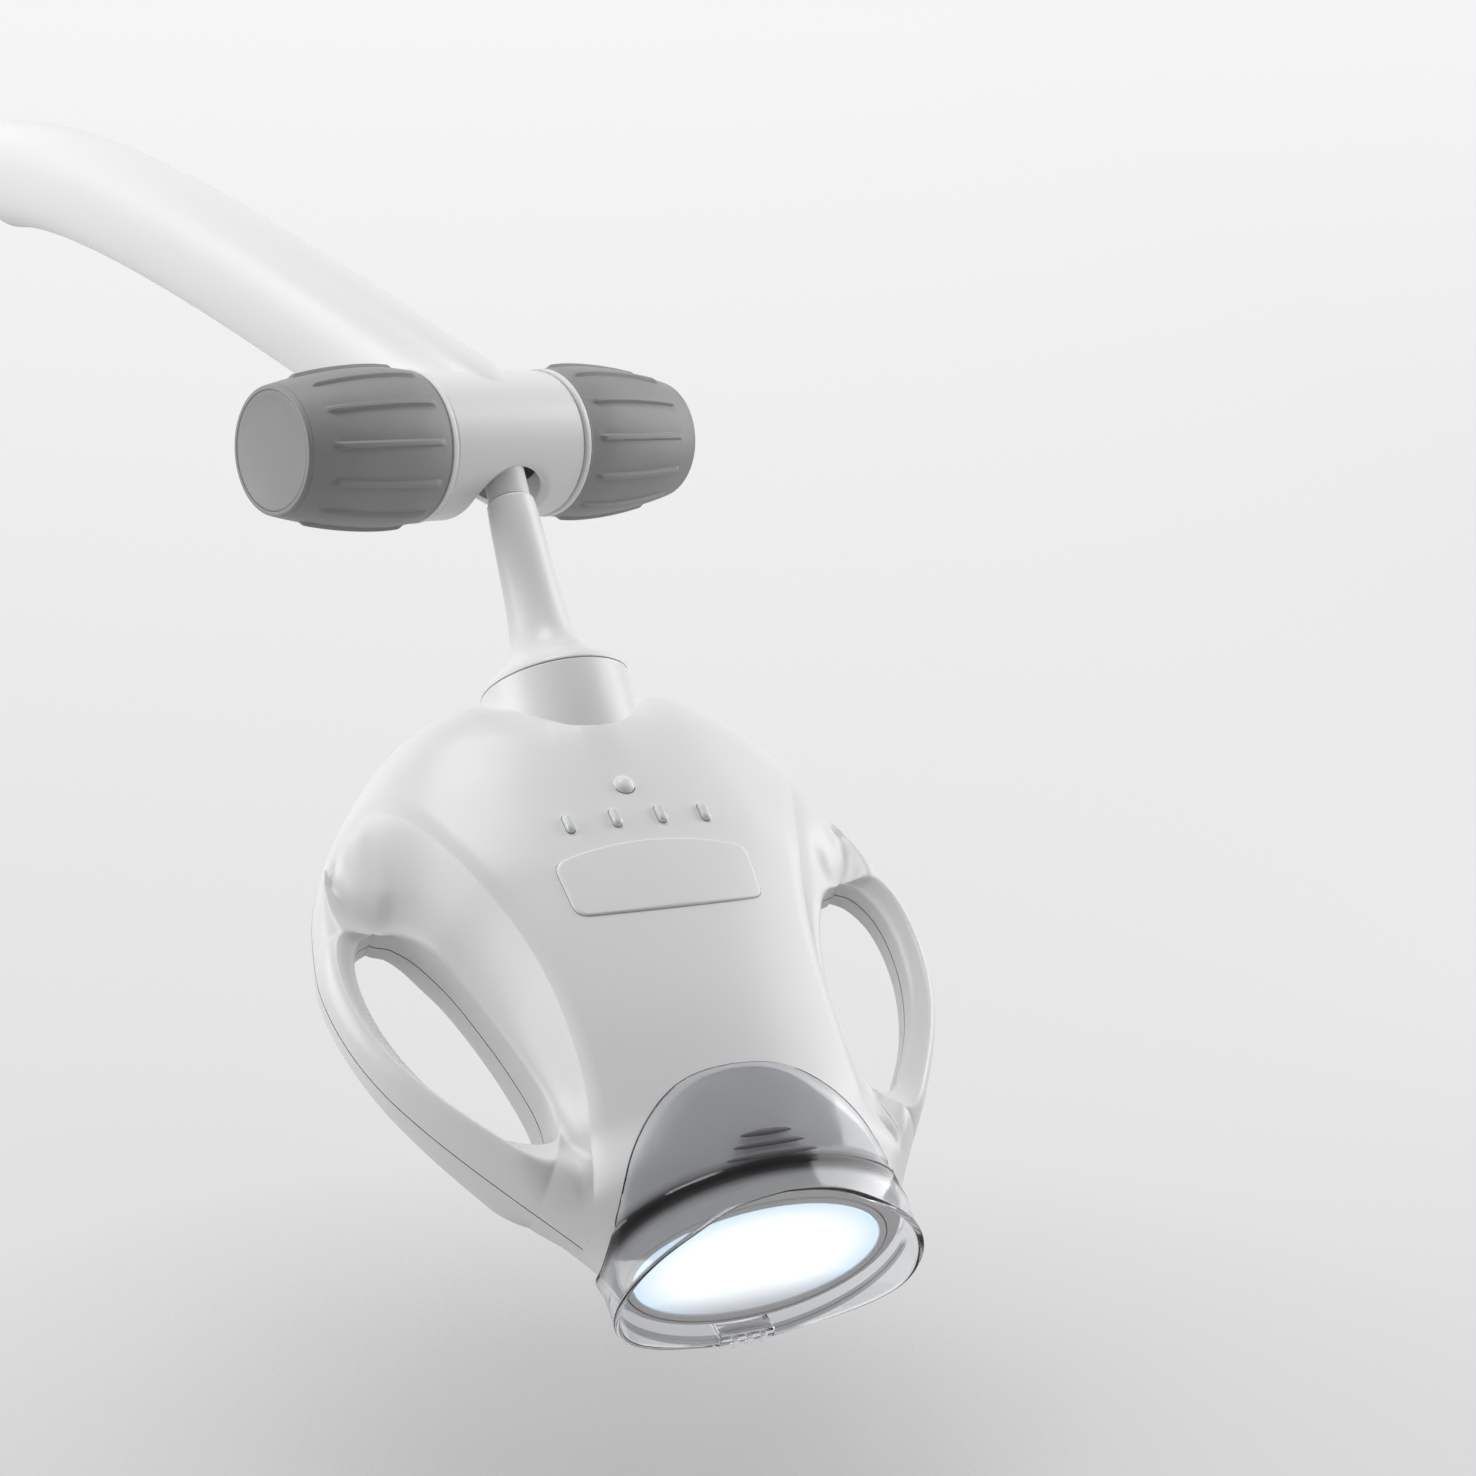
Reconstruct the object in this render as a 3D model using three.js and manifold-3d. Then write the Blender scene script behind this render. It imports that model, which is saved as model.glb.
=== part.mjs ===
import * as THREE from 'three';
import { mergeVertices } from 'three/addons/utils/BufferGeometryUtils.js';
import Module from 'manifold-3d';

// Head of a teeth whitening lamp on the end of its spring arm, in millimetres, +Z up.
// The origin is the centre of the arm's root flange, the front of the lamp looks along -Y,
// and the clamp bar lies along X.

const wasm = await Module();
wasm.setup();

// Gaps and overruns
const runningGap = 0.3;
const seatGap = 0.3;
const overrun = 4;
const weldDistance = 0.0005;

// Arm
const armReach = 340;
const armRise = 118;
const armStartRise = 7;
const armBendReach = 260;
const armHalfHeight = 24.5;
const armHalfWidth = 21;
const armWall = 3;
const armTubeRadius = 12;
const armTubeWall = 2.5;
const flangeThickness = 8;
const flangeBoltRadius = 2.8;
const flangeBoltCircle = 15.5;

// Clamp bar: barrel, rings and knobs
const barrelRadius = 28.6;
const barrelWall = 3.2;
const barrelHalfLength = 31.2;
const barrelEdge = 0.8;
const webThickness = 4;
const webInset = 6;
const ringWidth = 2.6;
const ringRadius = 29.3;
const ringLip = 2.2;
const seamWidth = 0.4;
const knobLength = 61;
const knobMaxRadius = 30.2;
const knobFaceRadius = 22.6;
const knobFaceEdge = 1.6;
const knobFaceDish = 1.1;
const capThickness = 1.6;
const capRadius = 20.4;
const ribHeight = 1.1;
const ribFade = 1.5;
const ribCount = 12;
const ribEndInset = 9;
const ribSeamInset = 5;
const insertRadius = 12;
const insertLength = 26;
const knobDrive = 6;

// Places of a rib's crest and of the valley beside it, as shares of the rib pitch
const ribPlaceShares = [-0.11, 0.11, 0.24, 0.76];

// Slot through the barrel, angles down from the front
const slotHalfWidth = 17;
const slotFlare = 0.8;
const slotLip = 3;
const slotFrontDeg = 49;
const slotRearDeg = 106;
const slotStepDeg = 14;

// Tilting block, swing pin and neck
const trunnionRadius = 7;
const trunnionReach = 52;
const bushWall = 2;
const discThickness = 1.6;
const discRadius = 15;
const blockRadius = 11.5;
const blockFrontFlat = 5;
const pinRadius = 3.5;
const pinHeadRadius = 6.5;
const pinHeadThickness = 2.6;
const neckOffset = 11.76;
const eyeThickness = 11;
const eyeRadius = 10.5;
const stemRadius = 6.4;
const sleeveRadius = 8.1;
const sleeveEnd = 31;
const sleeveStart = 23.5;
const neckStart = 31.4;
const neckTopRadius = 7.9;
const neckLowRadius = 11.4;
const neckFlareStart = 92;
const neckLength = 109.74;
const collarRadius = 28.1;
const neckRim = 1.6;
const collarWall = 2.6;
const collarDepth = 40;
const collarFloor = 4;
const spindleRadius = 9;
const spindleBore = 5.5;
const swivelBushWall = 2;
const swivelBushFlange = 1.6;
const nutThickness = 6;
const nutRadius = 15;
const nutSides = 6;

// Pose in the photograph
const tiltDeg = 29.95;
const swingDeg = 8.34;
const swivelDeg = 13.96;
const headSlopeDeg = 20;

// Head
const headHalfWidth = 116;
const headLength = 240;
const partingBack = 30;
const crownDepth = 45;
const rearDepth = 37;
const shellWall = 2.8;
const handleDepth = 11.5;
const noseSlopeDeg = 16.4;
const noseCentreBack = 32;
const noseEnd = 232;
const windowHalfWidth = 46;
const windowHalfDepth = 22;
const bezelWidth = 2.6;
const bezelThickness = 6;
const lensThickness = 3;

// Plan of the head seen from the front: shares of headLength down, and of headHalfWidth out
const outlineShares = [
  [-0.035, 0.10], [-0.028, 0.24], [0.0, 0.36], [0.03, 0.49], [0.07, 0.60], [0.125, 0.70], [0.19, 0.80],
  [0.25, 0.873], [0.3125, 0.935], [0.375, 0.982], [0.4375, 1.0], [0.5, 0.991], [0.5625, 0.962],
  [0.625, 0.912], [0.6875, 0.84], [0.75, 0.755], [0.8125, 0.662], [0.875, 0.566], [0.92, 0.50],
  [0.96, 0.462], [1.0, 0.45], [1.06, 0.446]];
// Half width of the egg-shaped body without its handles
const bodyShares = [
  [-0.035, 0.10], [-0.028, 0.24], [0.0, 0.36], [0.03, 0.49], [0.07, 0.60], [0.125, 0.70], [0.19, 0.80],
  [0.25, 0.873], [0.3125, 0.935], [0.375, 0.957], [0.4375, 0.885], [0.5, 0.82], [0.5625, 0.755],
  [0.625, 0.69], [0.6875, 0.632], [0.75, 0.582], [0.8125, 0.532], [0.875, 0.495], [0.92, 0.475],
  [0.96, 0.458], [1.0, 0.45], [1.06, 0.446]];
// Depth of the front crown and of the rear crown, as shares of their largest depths
const frontDepthShares = [
  [-0.035, 0.14], [-0.028, 0.34], [0.0, 0.56], [0.03, 0.72], [0.07, 0.85], [0.125, 0.95], [0.2, 0.985],
  [0.3, 1.0], [0.42, 0.985], [0.54, 0.945], [0.65, 0.895], [0.75, 0.82], [0.85, 0.735], [0.93, 0.665],
  [1.0, 0.63], [1.06, 0.61]];
const rearDepthShares = [
  [-0.035, 0.16], [-0.028, 0.38], [0.0, 0.60], [0.03, 0.74], [0.07, 0.86], [0.125, 0.94], [0.2, 0.985],
  [0.3, 1.0], [0.42, 0.995], [0.54, 0.96], [0.65, 0.915], [0.75, 0.86], [0.85, 0.80], [0.93, 0.755],
  [1.0, 0.73], [1.06, 0.71]];
// Scoop beside each handle: its upper edge on the crown and its lower edge at handle level,
// each with shares down, out and of the crown depth
const scoopEdgeShares = [
  [0.335, 0.985, 0.0], [0.262, 0.90, 0.13], [0.225, 0.82, 0.29], [0.208, 0.73, 0.49], [0.242, 0.664, 0.66],
  [0.292, 0.612, 0.755], [0.375, 0.547, 0.82], [0.458, 0.489, 0.80], [0.542, 0.449, 0.765],
  [0.625, 0.431, 0.70], [0.708, 0.429, 0.61], [0.77, 0.436, 0.53], [0.825, 0.448, 0.44], [0.865, 0.457, 0.37]];
const scoopFootShares = [
  [0.345, 0.99, 0.06], [0.352, 0.93, 0.19], [0.357, 0.87, 0.24], [0.362, 0.80, 0.255], [0.375, 0.74, 0.26],
  [0.398, 0.695, 0.26], [0.43, 0.655, 0.26], [0.475, 0.612, 0.26], [0.546, 0.565, 0.26],
  [0.621, 0.526, 0.275], [0.70, 0.50, 0.295], [0.766, 0.483, 0.32], [0.82, 0.47, 0.35], [0.86, 0.464, 0.36]];
// Finger opening between body and handle
const openingShares = [
  [0.372, 0.755], [0.364, 0.80], [0.375, 0.845], [0.41, 0.884], [0.458, 0.897], [0.521, 0.884],
  [0.583, 0.848], [0.646, 0.79], [0.70, 0.715], [0.744, 0.64], [0.768, 0.575], [0.765, 0.525], [0.733, 0.50],
  [0.683, 0.50], [0.608, 0.526], [0.538, 0.566], [0.458, 0.62], [0.412, 0.68]];
// Handle: inner edge of its blank and its depth, both against length
const handleInnerShares = [
  [0.14, 0.62], [0.25, 0.72], [0.36, 0.86], [0.42, 0.88], [0.50, 0.872], [0.58, 0.83], [0.65, 0.76],
  [0.71, 0.66], [0.77, 0.53], [0.84, 0.485], [0.94, 0.47]];
const handleDepthShares = [
  [0.14, 0.80], [0.25, 0.90], [0.36, 0.96], [0.46, 0.92], [0.56, 0.96], [0.65, 1.14], [0.73, 1.36],
  [0.80, 1.56], [0.87, 1.72], [0.94, 1.80]];
const handleFlatShare = 0.30;
const handleEndShare = 0.925;
const handleStartShare = 0.15;
const handleRoundness = 2.5;

// Controls on the front
const buttonRadius = 3.9;
const buttonRise = 2.2;
const buttonDown = 60;
const buttonStem = 2.6;
const buttonTravel = 1.2;
const lightPitch = 18;
const lightDown = 75;
const lightHalfLength = 3.9;
const lightHalfWidth = 1.6;
const lightRise = 1.4;
const badgeHalfWidth = 38;
const badgeTopDown = 90;
const badgeBottomDown = 109;
const badgeCrown = 5;
const badgeFoot = 2.5;
const badgeSideLean = 1.5;
const badgeRise = 0.8;
const badgeSink = 0.6;

// Light guide
const guideWall = 2.2;
const guideClearance = 0.35;
const guideFlare = 5.5;
const guideRim = 11;
const guideSleeve = 14;
const guideTabTop = 181;
const guideTabHalfWidth = 45;
const guideRearHeight = 9;
const gripRibCount = 3;
const gripRibPitch = 4.4;
const gripRibHeight = 0.9;
const gripRibHalfLength = 17;
const gripRibHalfWidth = 1.1;
const gripRibDown = 203;
const catchHalfWidth = 10.5;
const catchHeight = 12;
const catchThickness = 5;
const catchToothWidth = 2.4;
const catchToothDepth = 2;
const catchToothCount = 3;

// Inner pieces
const screwRadius = 1.5;
const screwHeadRadius = 2.9;
const screwHeadHeight = 2.2;
const screwLength = 26;
const postRadius = 4.6;
const screwPlaces = [
  { name: 'shell_screw_1', acrossShare: 0.44, downShare: 0.165 },
  { name: 'shell_screw_2', acrossShare: -0.44, downShare: 0.165 },
  { name: 'shell_screw_3', acrossShare: 0.43, downShare: 0.52 },
  { name: 'shell_screw_4', acrossShare: -0.43, downShare: 0.52 },
  { name: 'shell_screw_5', acrossShare: 0.375, downShare: 0.79 },
  { name: 'shell_screw_6', acrossShare: -0.375, downShare: 0.79 }];
const boardThickness = 1.6;
const boardHalfWidth = 33;
const boardTopDown = 53;
const boardBottomDown = 122;
const boardDepth = 33;
const boardPostRadius = 3;
const boardPostInset = 4;
const switchSize = 6;
const switchHeight = 3.5;
const chassisThickness = 2;
const chassisHalfWidth = 25;
const chassisBack = 22.6;
const chassisTopDown = 118;
const chassisBottomDown = 190;
const chassisPostRadius = 3.4;
const chassisPostInset = 6;
const sinkHalfWidth = 31;
const sinkHalfDepth = 20.5;
const sinkBase = 5;
const sinkFinCount = 9;
const sinkFinThickness = 1.8;
const sinkFinHeight = 28;
const sinkDown = 190;
const ledBoardThickness = 1.8;
const ledCount = 5;
const ledRows = 2;
const ledSize = 6;
const ledHeight = 1.6;
const reflectorWall = 1.5;
const reflectorTopHalfWidth = 27;
const reflectorTopHalfDepth = 14;
const fanHalf = 22.6;
const fanThickness = 13;
const fanDown = 146;
const fanHubRadius = 8.5;
const fanBladeRadius = 19.4;
const fanWell = 20.4;
const fanBladeCount = 7;
const fanBladeThickness = 1.4;
const fanBladePitchDeg = 38;
const fanShaftRadius = 1.5;
const fanStrutWidth = 3;
const ventCount = 7;
const ventPitch = 7.4;
const ventHalfWidth = 1.7;
const ventHalfLength = 21;
const ventDown = 82;

// Facets
const sidesRound = 32;
const sidesSlot = 20;
const sidesMedium = 20;
const sidesSmall = 14;
const sidesTiny = 10;
const ringPoints = 14;
const crownRows = 17;
const cavityPoints = 10;
const cavityRows = 13;
const armRows = 9;
const armSides = 16;
const handleRows = 12;
const handlePoints = 6;
const openingSteps = 22;
const guideRows = 9;
const knobSteps = 4;
const knobRibPoints = 4;
const halfTurn = Math.PI;

// Colours
const shellWhite = { color: 0xf1f1f2, roughness: 0.28, metalness: 0 };
const softGrey = { color: 0x8b8b8b, roughness: 0.7, metalness: 0 };
const capGrey = { color: 0xa3a3a4, roughness: 0.55, metalness: 0 };
const clearGrey = { color: 0xaab0b8, roughness: 0.05, metalness: 0, transparent: true, opacity: 0.45 };
const glowWhite = { color: 0xf4fbff, roughness: 0.2, metalness: 0, emissive: 0xe8f6ff };
const steel = { color: 0xb4b6b8, roughness: 0.35, metalness: 1 };
const aluminium = { color: 0xc9cbcd, roughness: 0.45, metalness: 1 };
const mirror = { color: 0xe6e8ea, roughness: 0.08, metalness: 1 };
const darkPlastic = { color: 0x2a2b2d, roughness: 0.5, metalness: 0 };
const brakeBrown = { color: 0x5c5147, roughness: 0.85, metalness: 0 };
const bearingTan = { color: 0xc7b790, roughness: 0.55, metalness: 0 };
const boardGreen = { color: 0x2b5b3c, roughness: 0.5, metalness: 0 };
const sleeveGrey = { color: 0xb9bbbd, roughness: 0.4, metalness: 0 };

const radians = (degrees) => THREE.MathUtils.degToRad(degrees);

// A closed geometry becomes a solid once its vertices are shared and its faces look outwards.
function solidOf(geometry) {
  const bare = geometry.clone();
  bare.deleteAttribute('normal');
  bare.deleteAttribute('uv');
  const shared = mergeVertices(bare, weldDistance);
  const position = shared.attributes.position;
  const corners = shared.index.array;
  const triangles = [];
  let volume = 0;
  const a = new THREE.Vector3();
  const b = new THREE.Vector3();
  const c = new THREE.Vector3();
  for (let k = 0; k < corners.length; k += 3) {
    const [i, j, l] = [corners[k], corners[k + 1], corners[k + 2]];
    if (i === j || j === l || l === i) continue;
    triangles.push(i, j, l);
    a.fromBufferAttribute(position, i);
    b.fromBufferAttribute(position, j);
    c.fromBufferAttribute(position, l);
    volume += a.dot(b.cross(c));
  }
  if (volume < 0) {
    for (let k = 0; k < triangles.length; k += 3) {
      [triangles[k], triangles[k + 1]] = [triangles[k + 1], triangles[k]];
    }
  }
  return new wasm.Manifold(new wasm.Mesh({
    numProp: 3,
    vertProperties: Float32Array.from(position.array),
    triVerts: Uint32Array.from(triangles),
  }));
}

function geometryOf(solid) {
  const mesh = solid.getMesh();
  const geometry = new THREE.BufferGeometry();
  geometry.setAttribute('position', new THREE.BufferAttribute(new Float32Array(mesh.vertProperties), 3));
  geometry.setIndex(new THREE.BufferAttribute(new Uint32Array(mesh.triVerts), 1));
  return geometry;
}

const joined = (solids) => solids.reduce((whole, next) => whole.add(next));
const cut = (solid, tools) => tools.reduce((whole, tool) => whole.subtract(tool), solid);

// Named mesh of a solid with its own material
function piece(name, solid, look) {
  const mesh = new THREE.Mesh(geometryOf(solid), new THREE.MeshStandardMaterial(look));
  mesh.name = name;
  return mesh;
}

function box(x0, x1, y0, y1, z0, z1) {
  const geometry = new THREE.BoxGeometry(x1 - x0, y1 - y0, z1 - z0);
  geometry.translate((x0 + x1) / 2, (y0 + y1) / 2, (z0 + z1) / 2);
  return solidOf(geometry);
}

// Turned solid: the profile is [radius, height] pairs round +Z
function turned(profile, sides = sidesRound) {
  const points = profile.map(([radius, height]) => new THREE.Vector2(radius, height));
  const geometry = new THREE.LatheGeometry(points, sides);
  geometry.rotateX(halfTurn / 2);
  return solidOf(geometry);
}

const rod = (radius, from, to, sides = sidesRound) =>
  turned([[0, from], [radius, from], [radius, to], [0, to]], sides);
const tube = (outer, inner, from, to, sides = sidesRound) =>
  turned([[inner, from], [outer, from], [outer, to], [inner, to], [inner, from]], sides);

const RIGHT_ANGLE = 90;
const alongX = (solid) => solid.rotate([0, RIGHT_ANGLE, 0]);
const alongY = (solid) => solid.rotate([-RIGHT_ANGLE, 0, 0]);
const movedTo = (solid, x, y, z) => solid.translate([x, y, z]);
const mirroredX = (solid) => solid.mirror([1, 0, 0]);

// Closed skin through rings of points with the same count, closed by a fan at each end
function lofted(rings) {
  const count = rings[0].length;
  const positions = [];
  const index = [];
  rings.forEach((ring) => ring.forEach((p) => positions.push(p.x, p.y, p.z)));
  for (let r = 0; r + 1 < rings.length; r += 1) {
    for (let k = 0; k < count; k += 1) {
      const next = (k + 1) % count;
      const [a, b] = [r * count + k, r * count + next];
      index.push(a, b, a + count, b, b + count, a + count);
    }
  }
  const capAt = (ring, start, flip) => {
    const middle = new THREE.Vector3();
    ring.forEach((p) => middle.add(p));
    middle.divideScalar(count);
    const centre = positions.length / 3;
    positions.push(middle.x, middle.y, middle.z);
    for (let k = 0; k < count; k += 1) {
      const [a, b] = [start + k, start + ((k + 1) % count)];
      if (flip) index.push(centre, b, a);
      else index.push(centre, a, b);
    }
  };
  capAt(rings[0], 0, true);
  capAt(rings[rings.length - 1], (rings.length - 1) * count, false);
  const geometry = new THREE.BufferGeometry();
  geometry.setAttribute('position', new THREE.BufferAttribute(new Float32Array(positions), 3));
  geometry.setIndex(index);
  return solidOf(geometry);
}

// Flat outline in the X-Z plane, extruded along Y
function plate(points, fromY, toY) {
  const shape = new THREE.Shape(points.map(([x, z]) => new THREE.Vector2(x, z)));
  const geometry = new THREE.ExtrudeGeometry(shape, { depth: toY - fromY, bevelEnabled: false });
  geometry.rotateX(halfTurn / 2);
  geometry.translate(0, toY, 0);
  return solidOf(geometry);
}

// Smooth value of a table of [place, value] shares at one place
function valueAt(shares, place) {
  const last = shares.length - 1;
  if (place <= shares[0][0]) return shares[0][1];
  if (place >= shares[last][0]) return shares[last][1];
  const k = shares.findIndex(([at]) => at > place) - 1;
  const [before, from, to, after] = [
    shares[Math.max(k - 1, 0)], shares[k], shares[k + 1], shares[Math.min(k + 2, last)]];
  const span = to[0] - from[0];
  const slopeFrom = (to[1] - before[1]) / (to[0] - before[0]);
  const slopeTo = (after[1] - from[1]) / (after[0] - from[0]);
  const t = (place - from[0]) / span;
  const [t2, t3] = [t * t, t * t * t];
  return (2 * t3 - 3 * t2 + 1) * from[1] + (t3 - 2 * t2 + t) * span * slopeFrom
    + (-2 * t3 + 3 * t2) * to[1] + (t3 - t2) * span * slopeTo;
}

const places = (from, to, steps) =>
  Array.from({ length: steps + 1 }, (_, k) => from + ((to - from) * k) / steps);

// Arm: a tapering cover round a steel tube, curving down from the root flange to the bar
const armCurve = new THREE.QuadraticBezierCurve3(
  new THREE.Vector3(0, 0, armStartRise),
  new THREE.Vector3(0, armBendReach, armRise),
  new THREE.Vector3(0, armReach, armRise));

function armSkin(halfWidth, halfHeight, endOverrun) {
  const rings = places(0, 1, armRows).map((share) => {
    const centre = armCurve.getPoint(share);
    const ahead = armCurve.getTangent(share);
    const across = new THREE.Vector3(1, 0, 0);
    const upward = new THREE.Vector3().crossVectors(across, ahead);
    return Array.from({ length: armSides }, (_, k) => {
      const angle = (2 * halfTurn * k) / armSides;
      return centre.clone()
        .addScaledVector(across, halfWidth * Math.cos(angle))
        .addScaledVector(upward, halfHeight * Math.sin(angle));
    });
  });
  if (endOverrun > 0) {
    const last = rings[rings.length - 1];
    rings.push(last.map((p) => p.clone().add(new THREE.Vector3(0, endOverrun, 0))));
  }
  return lofted(rings);
}

function buildArm(group) {
  const barClear = alongX(rod(barrelRadius + seatGap, -barrelHalfLength * 2, barrelHalfLength * 2));
  const hollow = armSkin(armHalfWidth - armWall, armHalfHeight - armWall, overrun);
  group.add(piece('arm_cover', cut(armSkin(armHalfWidth, armHalfHeight, 0), [hollow, barClear]), shellWhite));

  const flangeFace = armReach;
  const flangeBack = armReach - flangeThickness;
  const flangeOutline = armSkin(armHalfWidth - armWall - seatGap, armHalfHeight - armWall - seatGap, 0);
  const slice = box(-armHalfWidth, armHalfWidth, flangeBack, flangeFace + overrun,
    armRise - 2 * armHalfHeight, armRise + 2 * armHalfHeight);
  const bolts = Array.from({ length: 4 }, (_, k) => {
    const angle = halfTurn / 4 + (halfTurn * k) / 2;
    return movedTo(alongY(rod(flangeBoltRadius, -overrun, flangeThickness + overrun, sidesTiny)),
      flangeBoltCircle * Math.cos(angle), flangeBack, armRise + flangeBoltCircle * Math.sin(angle));
  });
  group.add(piece('root_flange', cut(flangeOutline.intersect(slice), bolts), steel));

  const tubeEnd = box(-armHalfWidth, armHalfWidth, flangeBack - seatGap, armReach + overrun, 0, 2 * armRise);
  const tubeBore = armSkin(armTubeRadius - armTubeWall, armTubeRadius - armTubeWall, overrun);
  const armTube = cut(armSkin(armTubeRadius, armTubeRadius, 0), [tubeBore, barClear, tubeEnd]);
  group.add(piece('arm_tube', armTube, steel));
}

// Barrel with its two webs, the flared slot for the neck, and the trim rings
function slotTool() {
  const steps = Math.round((slotRearDeg - slotFrontDeg) / slotStepDeg);
  const cone = turned([[0, barrelRadius / 3], [slotHalfWidth - slotFlare, barrelRadius / 3],
    [slotHalfWidth - slotFlare, barrelRadius - barrelWall], [slotHalfWidth, barrelRadius],
    [slotHalfWidth + slotLip, barrelRadius + overrun], [0, barrelRadius + overrun]], sidesSlot);
  const wedges = places(slotFrontDeg, slotRearDeg, steps).map((angle) => cone.rotate([RIGHT_ANGLE + angle, 0, 0]));
  return joined(wedges);
}

function buildBarrel(group) {
  const inner = barrelRadius - barrelWall;
  const skin = alongX(turned([
    [inner, -barrelHalfLength], [barrelRadius - barrelEdge, -barrelHalfLength],
    [barrelRadius, -barrelHalfLength + barrelEdge], [barrelRadius, barrelHalfLength - barrelEdge],
    [barrelRadius - barrelEdge, barrelHalfLength], [inner, barrelHalfLength], [inner, -barrelHalfLength]]));
  const webFar = barrelHalfLength - webInset;
  const webNear = webFar - webThickness;
  const webBore = trunnionRadius + bushWall + seatGap;
  const webs = [alongX(tube(inner + barrelWall / 2, webBore, webNear, webFar)),
    alongX(tube(inner + barrelWall / 2, webBore, -webFar, -webNear))];
  const barrel = joined([skin, ...webs]).subtract(slotTool());
  group.add(piece('barrel', barrel, shellWhite));

  for (const [side, sign] of [['left', -1], ['right', 1]]) {
    const ringFrom = barrelHalfLength + seamWidth;
    const ring = alongX(turned([
      [inner - ringLip, ringFrom], [ringRadius - barrelEdge, ringFrom], [ringRadius, ringFrom + barrelEdge],
      [ringRadius, ringFrom + ringWidth], [inner - ringLip, ringFrom + ringWidth], [inner - ringLip, ringFrom]]));
    group.add(piece(`barrel_ring_${side}`, sign > 0 ? ring : mirroredX(ring), shellWhite));

    const bushBore = trunnionRadius + runningGap;
    const flangeFrom = webFar + seatGap;
    const bush = alongX(turned([
      [bushBore, webNear], [trunnionRadius + bushWall, webNear], [trunnionRadius + bushWall, flangeFrom],
      [trunnionRadius + 2 * bushWall, flangeFrom], [trunnionRadius + 2 * bushWall, flangeFrom + bushWall],
      [bushBore, flangeFrom + bushWall], [bushBore, webNear]], sidesMedium));
    group.add(piece(`tilt_bush_${side}`, sign > 0 ? bush : mirroredX(bush), bearingTan));

    const discFar = webNear - seatGap;
    const disc = alongX(tube(discRadius, trunnionRadius + runningGap, discFar - discThickness, discFar, sidesMedium));
    group.add(piece(`friction_disc_${side}`, sign > 0 ? disc : mirroredX(disc), brakeBrown));
  }
}

// Knob: barrel-shaped grip with raised ribs, pressed on a threaded insert
function knobRadiusAt(share) {
  const start = ringRadius - seatGap;
  const swell = knobMaxRadius - start;
  const peakShare = 0.24;
  if (share < peakShare) return start + swell * Math.sin((halfTurn / 2) * (share / peakShare));
  const t = (share - peakShare) / (1 - peakShare);
  return knobMaxRadius - (knobMaxRadius - knobFaceRadius - knobFaceEdge) * t ** 1.9;
}

function buildKnob(side, sign) {
  const knob = new THREE.Group();
  const start = barrelHalfLength + seamWidth + ringWidth + seamWidth;
  const end = start + knobLength;
  const shoulder = end - knobFaceEdge;
  const ribFrom = start + ribSeamInset;
  const ribTo = end - ribEndInset;
  const around = ribCount * knobRibPoints;
  const ring = (x, radius, rise) => Array.from({ length: around }, (_, k) => {
    const crest = k % knobRibPoints;
    const lift = rise * [1, 1, 0, 0][crest];
    const angle = (2 * halfTurn * (Math.floor(k / knobRibPoints) + ribPlaceShares[crest])) / ribCount;
    return new THREE.Vector3(x, (radius + lift) * Math.sin(angle), (radius + lift) * Math.cos(angle));
  });
  const along = [start, ribFrom - ribFade, ...places(ribFrom, ribTo, knobSteps), ribTo + ribFade, shoulder];
  const rings = along.map((x) =>
    ring(x, knobRadiusAt((x - start) / (shoulder - start)), x >= ribFrom && x <= ribTo ? ribHeight : 0));
  rings.push(ring(end, knobFaceRadius, 0));
  const boreRadius = insertRadius + seatGap;
  const grip = cut(lofted(rings), [
    alongX(rod(boreRadius, start - overrun, end + overrun, sidesMedium)),
    alongX(rod(capRadius + seatGap, end - capThickness, end + overrun))]);

  const insertTo = start + insertLength;
  const insertBore = trunnionRadius + runningGap;
  const insert = alongX(tube(insertRadius, insertBore, start, insertTo, sidesMedium));
  const backRadius = capRadius - knobDrive;
  const cap = alongX(turned([
    [0, end - capThickness + seatGap], [capRadius, end - capThickness + seatGap],
    [capRadius, end - knobFaceDish / 2], [capRadius - knobDrive / 2, end - knobFaceDish],
    [backRadius, end - knobFaceDish], [0, end - knobFaceDish]]));
  const flip = (solid) => (sign > 0 ? solid : mirroredX(solid));
  knob.add(piece(`knob_${side}`, flip(grip), softGrey));
  knob.add(piece(`knob_cap_${side}`, flip(cap), capGrey));
  knob.add(piece(`knob_insert_${side}`, flip(insert), steel));
  return knob;
}

// Tilting block: a cross-piece whose trunnions turn in the barrel and whose pin carries the neck
function buildTiltBlock(group) {
  const discNear = barrelHalfLength - webInset - webThickness - seatGap - discThickness;
  const block = alongX(turned([
    [0, -trunnionReach], [trunnionRadius, -trunnionReach], [trunnionRadius, -discNear + seatGap],
    [blockRadius, -discNear + seatGap], [blockRadius, discNear - seatGap],
    [trunnionRadius, discNear - seatGap], [trunnionRadius, trunnionReach], [0, trunnionReach]]));
  const frontFlat = box(-discNear, discNear, -2 * blockRadius, -blockFrontFlat, -2 * blockRadius, 2 * blockRadius);
  const pinFront = neckOffset + eyeThickness / 2 + seatGap;
  const pinHole = alongY(rod(pinRadius + seatGap, -2 * blockRadius, 2 * blockRadius, sidesSmall));
  group.add(piece('tilt_block', cut(block, [frontFlat, pinHole]), aluminium));
  const pin = joined([
    alongY(rod(pinRadius, -pinFront - pinHeadThickness / 2, blockRadius - seatGap, sidesSmall)),
    alongY(rod(pinHeadRadius, -pinFront - pinHeadThickness, -pinFront, sidesSmall))]);
  group.add(piece('swing_pin', pin, steel));
}

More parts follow.
